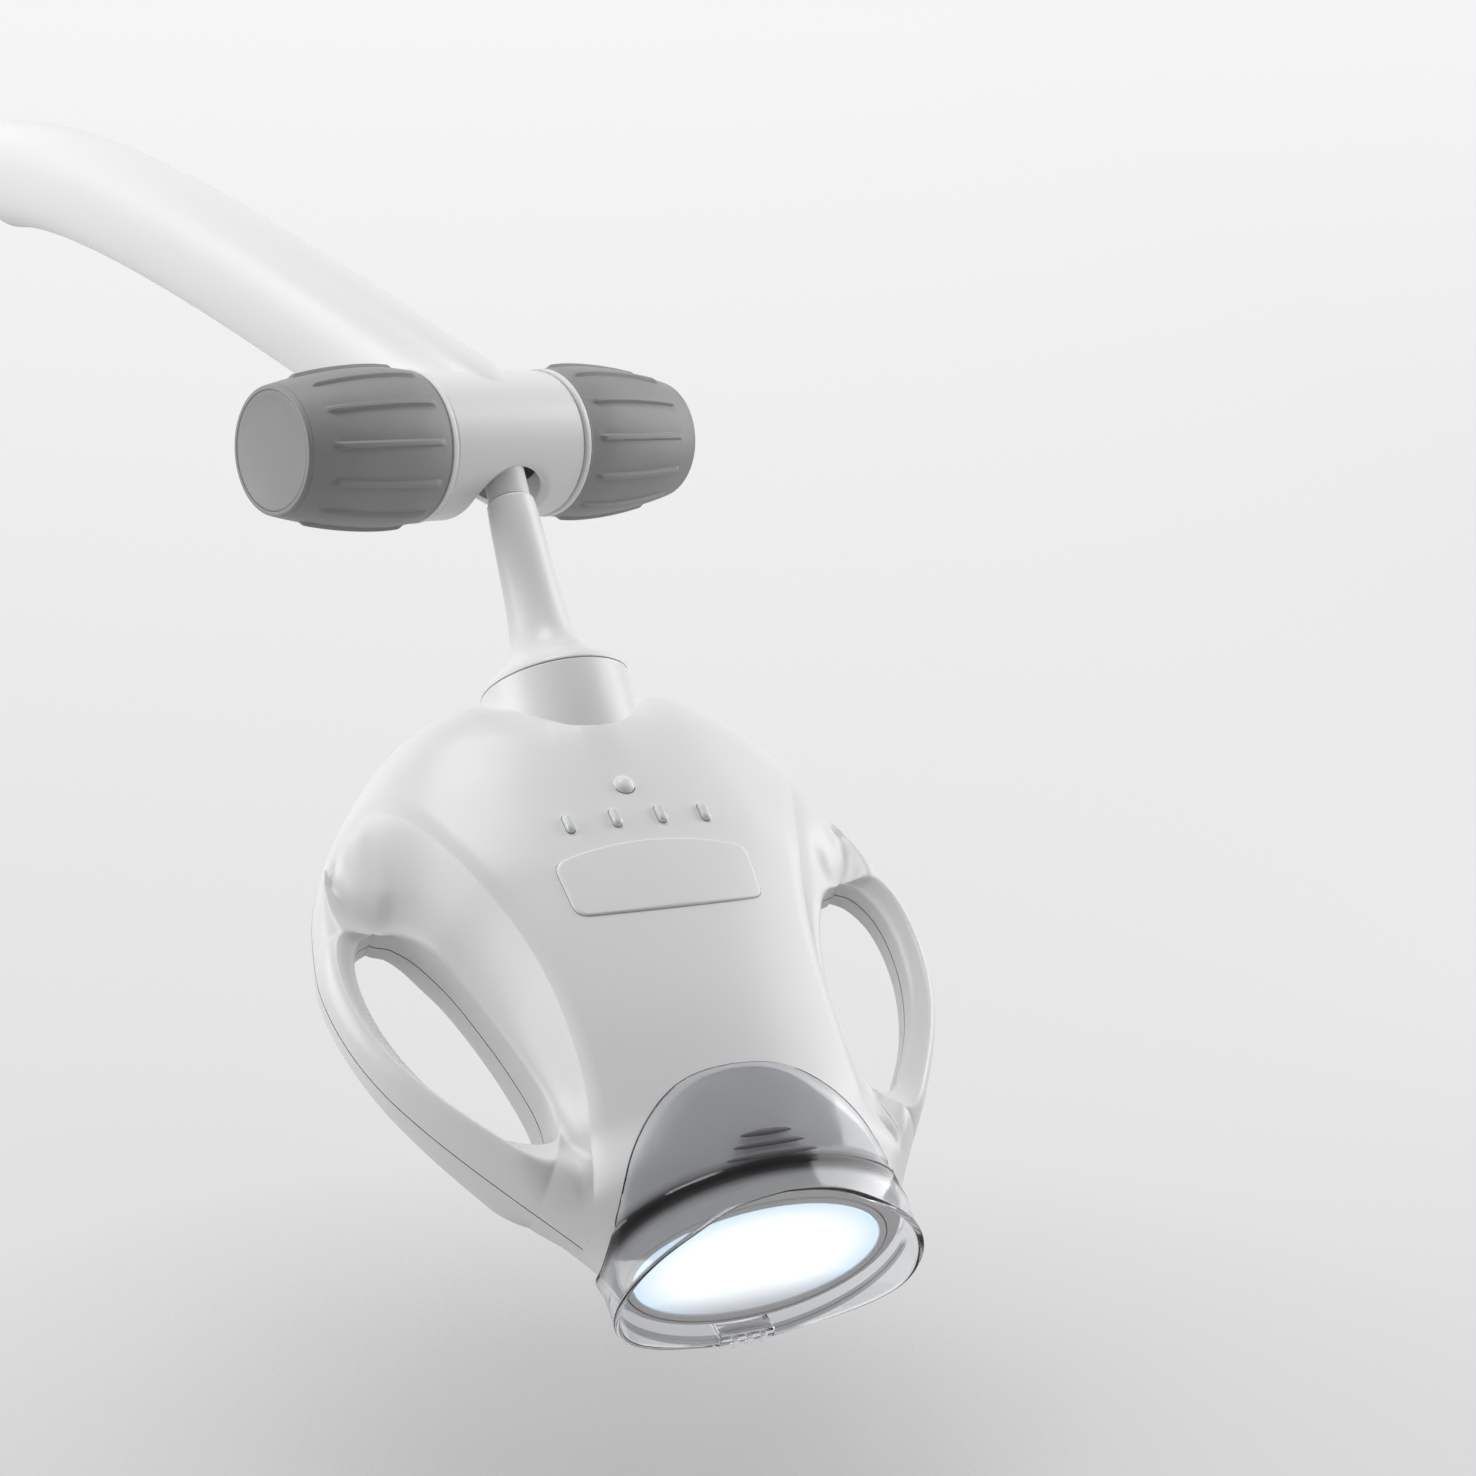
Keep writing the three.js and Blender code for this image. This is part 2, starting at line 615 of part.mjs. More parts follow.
// Neck: eye on the swing pin, plain stem, grey sleeve and tapered tube ending in a bell
function buildNeck(group) {
  const eyeFrom = -eyeThickness / 2;
  const eyeBlank = joined([
    alongY(rod(eyeRadius, eyeFrom, eyeThickness / 2)),
    rod(stemRadius, -neckStart - neckTopRadius, 0, sidesMedium)
      .intersect(box(-stemRadius, stemRadius, eyeFrom, eyeThickness / 2, -neckLength, 0)),
    rod(stemRadius, -neckStart - 2 * neckTopRadius, -eyeRadius - overrun / 2, sidesMedium)]);
  const eyeBore = alongY(rod(pinRadius + runningGap, -eyeThickness, eyeThickness, sidesSmall));
  group.add(piece('neck_eye', eyeBlank.subtract(eyeBore), aluminium));
  group.add(piece('neck_sleeve',
    tube(sleeveRadius, stemRadius + seatGap / 2, -sleeveEnd, -sleeveStart - seatGap, sidesMedium), sleeveGrey));

  const bellRows = 7;
  const flare = places(0, 1, bellRows).map((share) => {
    const rise = (neckLength - neckRim - neckFlareStart) * share;
    const spread = 1 - Math.sqrt(1 - (share * 0.985) ** 2);
    return [neckLowRadius + (collarRadius - neckLowRadius) * spread ** 0.92, -(neckFlareStart + rise)];
  });
  const socket = stemRadius + seatGap / 2;
  const socketEnd = neckStart + 2 * neckTopRadius + seatGap;
  const spindleSeat = spindleRadius + seatGap;
  const profile = [[socket, -neckStart], [neckTopRadius + barrelEdge, -neckStart - barrelEdge], ...flare,
    [collarRadius, -(neckLength - seamWidth)], [spindleSeat, -(neckLength - seamWidth)],
    [spindleSeat, -neckFlareStart], [spindleBore, -neckFlareStart], [spindleBore, -socketEnd],
    [socket, -socketEnd], [socket, -neckStart]];
  group.add(piece('neck_tube', turned(profile), shellWhite));

  const spindleTop = -(neckFlareStart + seatGap);
  const spindleEnd = -(neckLength + collarDepth + nutThickness + 2 * seatGap);
  group.add(piece('swivel_spindle', tube(spindleRadius, spindleBore, spindleEnd, spindleTop, sidesMedium), steel));
  const nutTop = -(neckLength + collarDepth + swivelBushFlange + seatGap);
  const nut = rod(nutRadius, nutTop - nutThickness, nutTop, nutSides).subtract(
    rod(spindleRadius + 2 * seatGap, nutTop - 2 * nutThickness, nutTop + nutThickness, sidesMedium));
  group.add(piece('spindle_nut', nut, steel));
}

// Collar of the head, turning on the spindle with a flanged bush
function buildCollar(group) {
  const cup = turned([
    [collarRadius - collarWall, 0], [collarRadius, 0], [collarRadius, -collarDepth],
    [spindleRadius + swivelBushWall + 2 * seatGap, -collarDepth],
    [spindleRadius + swivelBushWall + 2 * seatGap, -collarDepth + collarFloor],
    [collarRadius - collarWall, -collarDepth + collarFloor], [collarRadius - collarWall, 0]]);
  group.add(piece('collar_cup', cup, shellWhite));
  const bushInner = spindleRadius + runningGap;
  const bush = turned([
    [bushInner, -collarDepth + collarFloor + swivelBushFlange + seatGap],
    [spindleRadius + 2 * swivelBushWall + swivelBushFlange, -collarDepth + collarFloor + swivelBushFlange + seatGap],
    [spindleRadius + 2 * swivelBushWall + swivelBushFlange, -collarDepth + collarFloor + seatGap],
    [spindleRadius + swivelBushWall + seatGap, -collarDepth + collarFloor + seatGap],
    [spindleRadius + swivelBushWall + seatGap, -collarDepth - swivelBushFlange],
    [bushInner, -collarDepth - swivelBushFlange], [bushInner, -collarDepth + collarFloor + swivelBushFlange + seatGap]],
  sidesMedium);
  group.add(piece('swivel_bush', bush, bearingTan));
}

// Head body: rings of a half ellipse in front of the parting plane and one behind it
const outlineAt = (down) => headHalfWidth * valueAt(outlineShares, down);
const bodyAt = (down) => headHalfWidth * valueAt(bodyShares, down);
const frontAt = (down) => crownDepth * valueAt(frontDepthShares, down);
const rearAt = (down) => rearDepth * valueAt(rearDepthShares, down);
const topShare = outlineShares[0][0];
const endShare = outlineShares[outlineShares.length - 1][0];

function crown(inset, rows, half = ringPoints) {
  const rings = places(0, 1, rows).map((step) => {
    const down = topShare + (endShare - topShare) * step ** 1.35;
    const width = Math.max(bodyAt(down) - inset, headHalfWidth * 0.04);
    const front = Math.max(frontAt(down) - inset, crownDepth * 0.05);
    const rear = Math.max(rearAt(down) - inset, rearDepth * 0.05);
    const lift = inset > 0 ? inset * (1 - Math.min(step * 8, 1)) : 0;
    return Array.from({ length: 2 * half }, (_, k) => {
      const angle = (halfTurn * k) / half;
      const [across, away] = [Math.cos(angle), Math.sin(angle)];
      return new THREE.Vector3(width * across, partingBack + (away < 0 ? front : rear) * away,
        -headLength * down - lift);
    });
  });
  return lofted(rings);
}

// Handle blank: a rounded bar that follows the outline, straight on its inner side
function handleBlank() {
  const rings = places(handleStartShare, handleEndShare, handleRows).map((down) => {
    const outer = outlineAt(down);
    const inner = headHalfWidth * valueAt(handleInnerShares, down);
    const depth = handleDepth * valueAt(handleDepthShares, down);
    const flat = inner + (outer - inner) * handleFlatShare;
    const around = places(-1, 1, handlePoints).map((share) => {
      const angle = (halfTurn / 2) * share;
      const across = Math.cos(angle) ** (2 / handleRoundness);
      const away = Math.sign(share) * Math.abs(Math.sin(angle)) ** (2 / handleRoundness);
      return [flat + (outer - flat) * across, depth * away];
    });
    return [[inner, -depth], ...around, [inner, depth]].map(([x, y]) =>
      new THREE.Vector3(x, partingBack + y, -headLength * down));
  });
  return lofted(rings);
}

// Scoop: the surface between its edge on the crown and its foot, and all that lies before it
function scoopTool(depthScale, rearwards, grow) {
  const steps = [-0.45, 0, 0.16, 0.38, 0.66, 1];
  const hollow = 1.9;
  const far = headHalfWidth * 0.6;
  const rows = scoopEdgeShares.map((edge, k) => {
    const foot = scoopFootShares[k];
    const line = steps.map((t) => {
      const down = edge[0] + (foot[0] - edge[0]) * t;
      const out = edge[1] + (foot[1] - edge[1]) * t;
      const depth = foot[2] + (edge[2] - foot[2]) * (1 - t) ** hollow;
      return [headHalfWidth * out, headLength * down, depthScale * depth];
    });
    const tail = line[line.length - 1];
    line.push([tail[0] + far, tail[1], tail[2]]);
    return line;
  });
  const top = 2 * crownDepth;
  const sign = rearwards ? 1 : -1;
  const rings = rows.map((line) => {
    const under = line.map(([x, down, depth]) =>
      new THREE.Vector3(x - grow, partingBack + sign * (depth - grow), -down + grow));
    const over = line.map(([x, down]) =>
      new THREE.Vector3(x - grow, partingBack + sign * top, -down + grow)).reverse();
    return [...under, ...over];
  });
  return lofted(rings);
}

function openingPoints() {
  const spots = openingShares.map(([down, out]) => new THREE.Vector3(headHalfWidth * out, 0, -headLength * down));
  const loop = new THREE.CatmullRomCurve3(spots, true, 'centripetal');
  return loop.getSpacedPoints(openingSteps).slice(0, -1).map((p) => [p.x, p.z]);
}

// Nose frame: its origin is the middle of the window, its -Z the way the light leaves
function inNose(solid) {
  return movedTo(solid.rotate([-noseSlopeDeg, 0, 0]), 0, noseCentreBack, -noseEnd);
}

function oval(halfWidth, halfDepth, z, count = ringPoints * 2) {
  return Array.from({ length: count }, (_, k) => {
    const angle = (2 * halfTurn * k) / count;
    return new THREE.Vector3(halfWidth * Math.cos(angle), halfDepth * Math.sin(angle), z);
  });
}

const ovalRod = (halfWidth, halfDepth, from, to, count) =>
  lofted([oval(halfWidth, halfDepth, from, count), oval(halfWidth, halfDepth, to, count)]);

function badgeOutline(grow) {
  const topLine = places(-1, 1, 6).map((share) =>
    [(badgeHalfWidth + grow) * share, -badgeTopDown + grow + badgeCrown * (1 - share * share)]);
  const footLine = places(1, -1, 6).map((share) =>
    [(badgeHalfWidth - badgeSideLean + grow) * share, -badgeBottomDown - grow - badgeFoot * (1 - share * share)]);
  return [...topLine, ...footLine];
}

const collarAxis = (solid) => solid.rotate([headSlopeDeg, 0, 0]);

function lightPlaces() {
  return Array.from({ length: 4 }, (_, k) => lightPitch * (k - 1.5));
}

function lightBar(grow, fromY, toY) {
  const corner = lightHalfWidth + grow;
  const shape = places(0, 1, sidesTiny).slice(0, -1).map((share) => {
    const angle = 2 * halfTurn * share;
    const sway = Math.sin(angle) >= 0 ? 1 : -1;
    return [corner * Math.cos(angle), corner * Math.sin(angle) + sway * (lightHalfLength - lightHalfWidth)];
  });
  return plate(shape, fromY, toY);
}

function buildHead(group) {
  const outside = crown(0, crownRows);
  const frontScoop = scoopTool(crownDepth, false, 0);
  const rearScoop = scoopTool(rearDepth, true, 0);
  const fingerHole = plate(openingPoints(), partingBack - 2 * crownDepth, partingBack + 2 * crownDepth);
  const handle = handleBlank();
  const both = (solid) => [solid, mirroredX(solid)];
  const scooped = cut(outside, [...both(frontScoop), ...both(rearScoop)]);
  const handled = joined([scooped, ...both(handle)]);

  const noseCut = inNose(box(-headHalfWidth, headHalfWidth, -headLength, headLength, -headLength, 0));
  const seatBlock = inNose(box(-headHalfWidth, headHalfWidth, -headLength, headLength,
    -headLength, guideSleeve + seatGap));
  const noseSeat = seatBlock.subtract(lofted(guideDowns().map((down) => guideSection(down, 0))));
  const whole = cut(handled, [...both(fingerHole), noseCut, noseSeat]);

  // Hollow of the body: kept clear of scoops, finger openings and handles
  const sideLimit = openingShares.filter(([, out]) => out < 0.70).map(([down, out]) =>
    [headHalfWidth * out - shellWall, -headLength * down]).sort((p, q) => q[1] - p[1]);
  const sideTop = -headLength * 0.345;
  const keepOut = plate([
    [headHalfWidth * 0.66, sideTop], [2 * headHalfWidth, sideTop], [2 * headHalfWidth, -2 * headLength],
    [headHalfWidth * 0.41, -2 * headLength], [headHalfWidth * 0.425, -headLength * 0.9],
    ...sideLimit.reverse()], -headLength, headLength);
  const frontKeep = scoopTool(crownDepth, false, shellWall);
  const rearKeep = scoopTool(rearDepth, true, shellWall);
  const hollow = cut(crown(shellWall, cavityRows, cavityPoints), [...both(keepOut), ...both(frontKeep), ...both(rearKeep)]);
  const collarClear = collarAxis(rod(collarRadius + seatGap, -collarDepth - seatGap, headLength / 2));

  const posts = joined(screwPlaces.map(({ acrossShare, downShare }) =>
    movedTo(alongY(rod(postRadius, partingBack - 2 * crownDepth, partingBack + 2 * rearDepth, sidesTiny)),
      headHalfWidth * acrossShare, 0, -headLength * downShare)));
  const boardFace = partingBack - boardDepth;
  const boardPosts = joined(boardPostPlaces().map(([x, z]) =>
    movedTo(alongY(rod(boardPostRadius, boardFace - 2 * crownDepth, boardFace - seatGap, sidesTiny)), x, 0, z)));
  const chassisFace = partingBack + chassisBack + chassisThickness;
  const chassisPosts = joined(chassisPostPlaces().map(([x, z]) =>
    movedTo(alongY(rod(chassisPostRadius, chassisFace + seatGap, chassisFace + 2 * rearDepth, sidesTiny)), x, 0, z)));
  const inside = joined([posts, boardPosts, chassisPosts]).intersect(whole);
  const bothShells = joined([whole.subtract(hollow), inside]);

  const screwHoles = joined(screwPlaces.map(({ acrossShare, downShare }) =>
    screwTool(headHalfWidth * acrossShare, -headLength * downShare, seatGap)));
  const bezelSeat = inNose(ovalRod(windowHalfWidth + bezelWidth + seatGap, windowHalfDepth + bezelWidth + seatGap,
    -overrun, bezelThickness + seatGap));
  const carved = cut(bothShells, [collarClear, screwHoles, bezelSeat]);
  const far = 2 * headLength;
  const halfSeam = seamWidth / 2;
  const frontSide = box(-far, far, -far, partingBack - halfSeam, -far, far);
  const rearSide = box(-far, far, partingBack + halfSeam, far, -far, far);

  const badgeRecess = plate(badgeOutline(seatGap), -far, partingBack - crownDepth / 2)
    .subtract(crown(badgeSink + seatGap, crownRows));
  const lightHoles = joined(lightPlaces().map((x) =>
    movedTo(lightBar(seatGap, -far, partingBack - crownDepth / 2), x, 0, -lightDown)));
  const buttonHole = movedTo(alongY(rod(buttonRadius + runningGap, -far, partingBack - crownDepth / 2, sidesSmall)),
    0, 0, -buttonDown);
  const front = cut(carved.intersect(frontSide), [badgeRecess, lightHoles, buttonHole]);
  group.add(piece('front_shell', largest(front), shellWhite));

  const vents = joined(Array.from({ length: ventCount }, (_, k) => {
    const down = ventDown + ventPitch * (k - (ventCount - 1) / 2);
    return box(-ventHalfLength, ventHalfLength, partingBack + rearDepth / 2, far,
      -down - ventHalfWidth, -down + ventHalfWidth);
  }));
  const rear = cut(carved.intersect(rearSide), [vents]);
  group.add(piece('rear_shell', largest(rear), shellWhite));

  const badge = plate(badgeOutline(0), -far, partingBack - crownDepth / 2)
    .intersect(crown(-badgeRise, crownRows)).subtract(crown(badgeSink, crownRows));
  group.add(piece('badge_plate', largest(badge), shellWhite));

  const pipeEnd = partingBack - boardDepth - seatGap;
  lightPlaces().forEach((x, k) => {
    const pipe = movedTo(lightBar(0, -far, pipeEnd), x, 0, -lightDown).intersect(crown(-lightRise, crownRows));
    group.add(piece(`session_light_${k + 1}`, largest(pipe), glowWhite));
  });
}

// The one body that counts when a cut leaves slivers beside it
function largest(solid) {
  return solid.decompose().sort((p, q) => q.volume() - p.volume())[0];
}

function screwTool(x, z, grow) {
  const headFace = partingBack + rearDepth * 0.45;
  const tip = headFace - screwLength;
  return movedTo(joined([
    alongY(rod(screwRadius + grow, tip - grow, headFace + overrun, sidesTiny)),
    alongY(rod(screwHeadRadius + grow, headFace - grow, headFace + 2 * rearDepth, sidesTiny))]), x, 0, z);
}

function buildScrews(group) {
  const headFace = partingBack + rearDepth * 0.45;
  for (const { name, acrossShare, downShare } of screwPlaces) {
    const tip = headFace - screwLength;
    const screw = alongY(turned([[0, tip], [screwRadius, tip], [screwRadius, headFace],
      [screwHeadRadius, headFace], [screwHeadRadius, headFace + screwHeadHeight],
      [0, headFace + screwHeadHeight]], sidesTiny));
    group.add(piece(name, movedTo(screw, headHalfWidth * acrossShare, 0, -headLength * downShare), steel));
  }
}

function boardPostPlaces() {
  const x = boardHalfWidth - boardPostInset;
  return [[x, -boardTopDown - boardPostInset], [-x, -boardTopDown - boardPostInset],
    [x, -boardBottomDown + boardPostInset], [-x, -boardBottomDown + boardPostInset]];
}

function chassisPostPlaces() {
  const x = chassisHalfWidth - chassisPostInset;
  return [[x, -chassisTopDown - chassisPostInset], [-x, -chassisTopDown - chassisPostInset],
    [x, -chassisBottomDown + 2 * chassisPostInset], [-x, -chassisBottomDown + 2 * chassisPostInset]];
}

// Control board behind the front, with the switch under the start button
function buildBoard(group) {
  const face = partingBack - boardDepth;
  const corner = boardPostInset;
  const board = plate([
    [-boardHalfWidth + corner, -boardTopDown], [boardHalfWidth - corner, -boardTopDown],
    [boardHalfWidth, -boardTopDown - corner], [boardHalfWidth, -boardBottomDown],
    [-boardHalfWidth, -boardBottomDown], [-boardHalfWidth, -boardTopDown - corner]],
  face, face + boardThickness);
  const chips = [box(-switchSize, switchSize, face - ledHeight, face + boardThickness / 2,
    -lightDown - 4 * switchSize, -lightDown - 2 * switchSize)];
  group.add(piece('control_board', joined([board, ...chips]), boardGreen));
  const button = box(-switchSize / 2, switchSize / 2, face - seatGap - switchHeight, face - seatGap,
    -buttonDown - switchSize / 2, -buttonDown + switchSize / 2);
  group.add(piece('button_switch', button, darkPlastic));
}

function buildButton(group) {
  const skin = partingBack - frontAt(buttonDown / headLength);
  const foot = partingBack - boardDepth - 2 * seatGap - switchHeight - buttonTravel;
  const dome = places(0, 1, 4).map((share) => {
    const angle = (halfTurn / 2) * share;
    return [buttonRadius * Math.cos(angle), buttonRise * Math.sin(angle)];
  });
  const profile = [[0, -(foot - skin)], [buttonStem, -(foot - skin)], [buttonStem, -shellWall],
    [buttonRadius, -shellWall], ...dome];
  group.add(piece('start_button', movedTo(turned(profile, sidesSmall).rotate([RIGHT_ANGLE, 0, 0]), 0, skin,
    -buttonDown), shellWhite));
}

// Window: bezel, glowing lens, and the reflector that reaches up to the lamps
function buildWindow(group) {
  const outer = [windowHalfWidth + bezelWidth, windowHalfDepth + bezelWidth];
  const bezel = cut(ovalRod(...outer, 0, bezelThickness), [
    ovalRod(windowHalfWidth - bezelWidth / 2, windowHalfDepth - bezelWidth / 2, -overrun, 2 * bezelThickness),
    ovalRod(windowHalfWidth, windowHalfDepth, -overrun, lensThickness + 2 * seatGap)]);
  group.add(piece('window_bezel', inNose(bezel), shellWhite));
  const lens = ovalRod(windowHalfWidth - seatGap, windowHalfDepth - seatGap, seatGap, lensThickness + seatGap);
  group.add(piece('window_lens', inNose(lens), glowWhite));

  const slope = new THREE.Matrix4().makeRotationX(-radians(noseSlopeDeg))
    .premultiply(new THREE.Matrix4().makeTranslation(0, noseCentreBack, -noseEnd));
  const ledFace = -sinkDown - ledBoardThickness - seatGap;
  const reflectorTop = ledFace - ledHeight / 2;
  const sleeve = (grow, low, high) => {
    const mouth = oval(windowHalfWidth - bezelWidth - seatGap + grow, windowHalfDepth - bezelWidth - seatGap + grow,
      bezelThickness + seatGap + low).map((p) => p.applyMatrix4(slope));
    const head = oval(reflectorTopHalfWidth + grow, reflectorTopHalfDepth + grow, high)
      .map((p) => p.add(new THREE.Vector3(0, partingBack, 0)));
    const mid = mouth.map((p, k) => p.clone().lerp(head[k], 0.5).add(
      new THREE.Vector3((p.x - head[k].x) * 0.12, 0, 0)));
    return [mouth, mid, head];
  };
  const skin = lofted(sleeve(reflectorWall, 0, reflectorTop));
  const inner = lofted(sleeve(0, -overrun, reflectorTop + overrun));
  group.add(piece('reflector', skin.subtract(inner), mirror));
}

// Light engine: lamp board, finned heat sink, chassis plate and fan
function buildEngine(group) {
  const ledTop = -sinkDown - seatGap;
  const board = movedTo(ovalRod(sinkHalfWidth - seatGap, sinkHalfDepth - seatGap, ledTop - ledBoardThickness, ledTop),
    0, partingBack, 0);
  const pitch = 1.6 * ledSize;
  const lamps = [];
  for (let row = 0; row < ledRows; row += 1) {
    for (let k = 0; k < ledCount; k += 1) {
      const x = pitch * (k - (ledCount - 1) / 2);
      const y = partingBack + pitch * (row - (ledRows - 1) / 2);
      lamps.push(box(x - ledSize / 2, x + ledSize / 2, y - ledSize / 2, y + ledSize / 2,
        ledTop - ledBoardThickness - ledHeight, ledTop - ledBoardThickness / 2));
    }
  }
  group.add(piece('led_board', joined([board, ...lamps]), boardGreen));

  const base = -sinkDown;
  const fins = Array.from({ length: sinkFinCount }, (_, k) => {
    const x = (2 * sinkHalfWidth - sinkFinThickness) * (k / (sinkFinCount - 1)) - sinkHalfWidth;
    return box(x, x + sinkFinThickness, partingBack - sinkHalfDepth, partingBack + sinkHalfDepth,
      base + sinkBase / 2, base + sinkBase + sinkFinHeight);
  });
  const slab = box(-sinkHalfWidth, sinkHalfWidth, partingBack - sinkHalfDepth, partingBack + sinkHalfDepth,
    base, base + sinkBase);
  const lug = box(-chassisHalfWidth, chassisHalfWidth, partingBack + sinkHalfDepth - overrun,
    partingBack + chassisBack - seatGap, base, base + sinkBase);
  group.add(piece('heat_sink', joined([slab, ...fins, lug]), aluminium));

  const chassisFront = partingBack + chassisBack;
  const window = box(-chassisHalfWidth / 2, chassisHalfWidth / 2, chassisFront - overrun,
    chassisFront + chassisThickness + overrun, -fanDown - fanThickness / 2, -chassisTopDown - 2 * chassisPostInset);
  const chassisPlate = box(-chassisHalfWidth, chassisHalfWidth, chassisFront, chassisFront + chassisThickness,
    -chassisBottomDown + seatGap, -chassisTopDown);
  group.add(piece('chassis_plate', chassisPlate.subtract(window), steel));

  const fanLow = -fanDown - fanThickness / 2;
  const fanHigh = -fanDown + fanThickness / 2;
  const duct = box(-fanHalf, fanHalf, partingBack - fanHalf, partingBack + chassisBack - seatGap, fanLow, fanHigh);
  const well = movedTo(rod(fanWell, fanLow - overrun, fanHigh + overrun), 0, partingBack, 0);
  const strut = fanStrutWidth;
  const struts = [
    box(-fanWell - seatGap, fanWell + seatGap, partingBack - strut / 2, partingBack + strut / 2, fanLow, fanLow + strut / 2),
    box(-strut / 2, strut / 2, partingBack - fanWell - seatGap, partingBack + fanWell + seatGap, fanLow, fanLow + strut / 2),
    movedTo(rod(fanHubRadius, fanLow, fanLow + strut, sidesSmall), 0, partingBack, 0)];
  const shaftHole = movedTo(rod(fanShaftRadius + runningGap, fanLow - overrun, fanHigh, sidesTiny), 0, partingBack, 0);
  group.add(piece('fan_frame', cut(joined([duct.subtract(well), ...struts]), [shaftHole]), darkPlastic));

  const hubLow = fanLow + strut + runningGap;
  const rotorTop = fanHigh - runningGap;
  const hub = joined([rod(fanHubRadius, hubLow, rotorTop, sidesSmall),
    rod(fanShaftRadius, fanLow + runningGap, rotorTop - strut / 2, sidesTiny)]);
  const bladeSpan = fanBladeRadius - fanHubRadius;
  const blade = box(-fanBladeThickness / 2, fanBladeThickness / 2, fanHubRadius - strut / 2, fanHubRadius + bladeSpan,
    -(rotorTop - hubLow) / 2 + fanBladeThickness, (rotorTop - hubLow) / 2 - fanBladeThickness)
    .rotate([0, fanBladePitchDeg, 0]);
  const blades = Array.from({ length: fanBladeCount }, (_, k) =>
    movedTo(blade, 0, 0, (hubLow + rotorTop) / 2).rotate([0, 0, (4 * RIGHT_ANGLE * k) / fanBladeCount]));
  group.add(piece('fan_rotor', movedTo(joined([hub, ...blades]), 0, partingBack, 0), darkPlastic));
}

// Rings of the nose as the light guide sees it, and where they lie
const guideDowns = () => places(guideTabTop - 2 * overrun, noseEnd + 2.6 * guideRim, guideRows);

function guideSection(down, grow) {
  const share = down / headLength;
  const width = Math.max(bodyAt(share), outlineAt(share)) + grow;
  const [front, rear] = [frontAt(share) + grow, rearAt(share) + grow];
  return Array.from({ length: 2 * ringPoints }, (_, k) => {
    const angle = (halfTurn * k) / ringPoints;
    const away = Math.sin(angle);
    return new THREE.Vector3(width * Math.cos(angle), partingBack + (away < 0 ? front : rear) * away, -down);
  });
}

// Light guide: a clear sleeve round the nose with a front tab, a flared rim and a rear catch
function buildGuide(group) {
  const startDown = noseEnd - guideSleeve;
  const section = guideSection;
  const downs = guideDowns();
  const guideEnd = downs[downs.length - 1];
  const flare = (down) => guideFlare * Math.max(0, (down - startDown) / (guideEnd - startDown)) ** 1.2;
  const outer = lofted(downs.map((down) => section(down, guideClearance + guideWall + flare(down))));
  const inner = lofted([...downs.map((down) => section(down, guideClearance + flare(down)))]
    .map((ring, k) => (k === 0 ? ring.map((p) => p.clone().setZ(p.z + overrun)) : ring))
    .map((ring, k) => (k === downs.length - 1 ? ring.map((p) => p.clone().setZ(p.z - overrun)) : ring)));
  const rimPlane = inNose(box(-headHalfWidth, headHalfWidth, -headLength, headLength, -headLength, -guideRim));
  const backLimit = inNose(box(-headHalfWidth, headHalfWidth, -headLength, headLength, guideSleeve, headLength));
  const rearBand = inNose(box(-headHalfWidth, headHalfWidth, 0, headLength, guideRearHeight - guideRim, headLength));
  const tabShape = places(0, 1, 16).map((share) => {
    const angle = halfTurn * share;
    return [guideTabHalfWidth * 1.12 * Math.cos(angle) ,
      -startDown - overrun + (startDown + overrun - guideTabTop) * Math.sin(angle) ** 0.8];
  });
  const tabKeep = plate(tabShape, -headLength, partingBack - crownDepth / 4);
  const shell = outer.subtract(inner).subtract(rimPlane);
  const sleeve = cut(shell, [backLimit, rearBand]);
  const tab = shell.intersect(tabKeep);

  const ribs = Array.from({ length: gripRibCount }, (_, k) => {
    const down = gripRibDown - gripRibPitch * (k - (gripRibCount - 1) / 2);
    const half = gripRibHalfLength - gripRibPitch * (gripRibCount - 1 - k);
    const shape = places(0, 1, sidesTiny).slice(0, -1).map((share) => {
      const angle = 2 * halfTurn * share;
      return [half * Math.cos(angle), gripRibHalfWidth * Math.sin(angle) - down];
    });
    return plate(shape, -headLength, partingBack - crownDepth / 4);
  });
  const raised = lofted(downs.map((down) => section(down, guideClearance + guideWall + flare(down) + gripRibHeight)));
  const ribSkin = joined(ribs).intersect(raised).subtract(inner);

  const rimBack = rearAt(noseEnd / headLength) + guideClearance + flare(noseEnd + guideRim) + guideWall;
  const block = inNose(box(-catchHalfWidth, catchHalfWidth, rimBack - guideWall - overrun / 2,
    rimBack + catchThickness / 2, -guideRim, -guideRim + catchHeight));
  const teeth = Array.from({ length: catchToothCount }, (_, k) => {
    const x = 2.2 * catchToothWidth * (k - (catchToothCount - 1) / 2);
    return inNose(box(x - catchToothWidth / 2, x + catchToothWidth / 2, rimBack - guideWall,
      rimBack + catchThickness / 2 - catchToothDepth / 2, -guideRim - catchToothDepth, -guideRim + catchToothDepth));
  });
  const catchBlock = joined([block, ...teeth]).subtract(inner);
  group.add(piece('light_guide', largest(joined([sleeve, tab, ribSkin, catchBlock])), clearGrey));
}

// Assembly in the photograph's pose
const lamp = new THREE.Group();
lamp.position.set(0, -armReach, -armRise);
buildArm(lamp);
buildBarrel(lamp);
lamp.add(buildKnob('left', -1), buildKnob('right', 1));

const tilting = new THREE.Group();
tilting.rotation.x = -radians(tiltDeg);
lamp.add(tilting);
buildTiltBlock(tilting);

const swinging = new THREE.Group();
swinging.rotation.y = radians(swingDeg);
tilting.add(swinging);
const neck = new THREE.Group();
neck.position.y = -neckOffset;
swinging.add(neck);
buildNeck(neck);

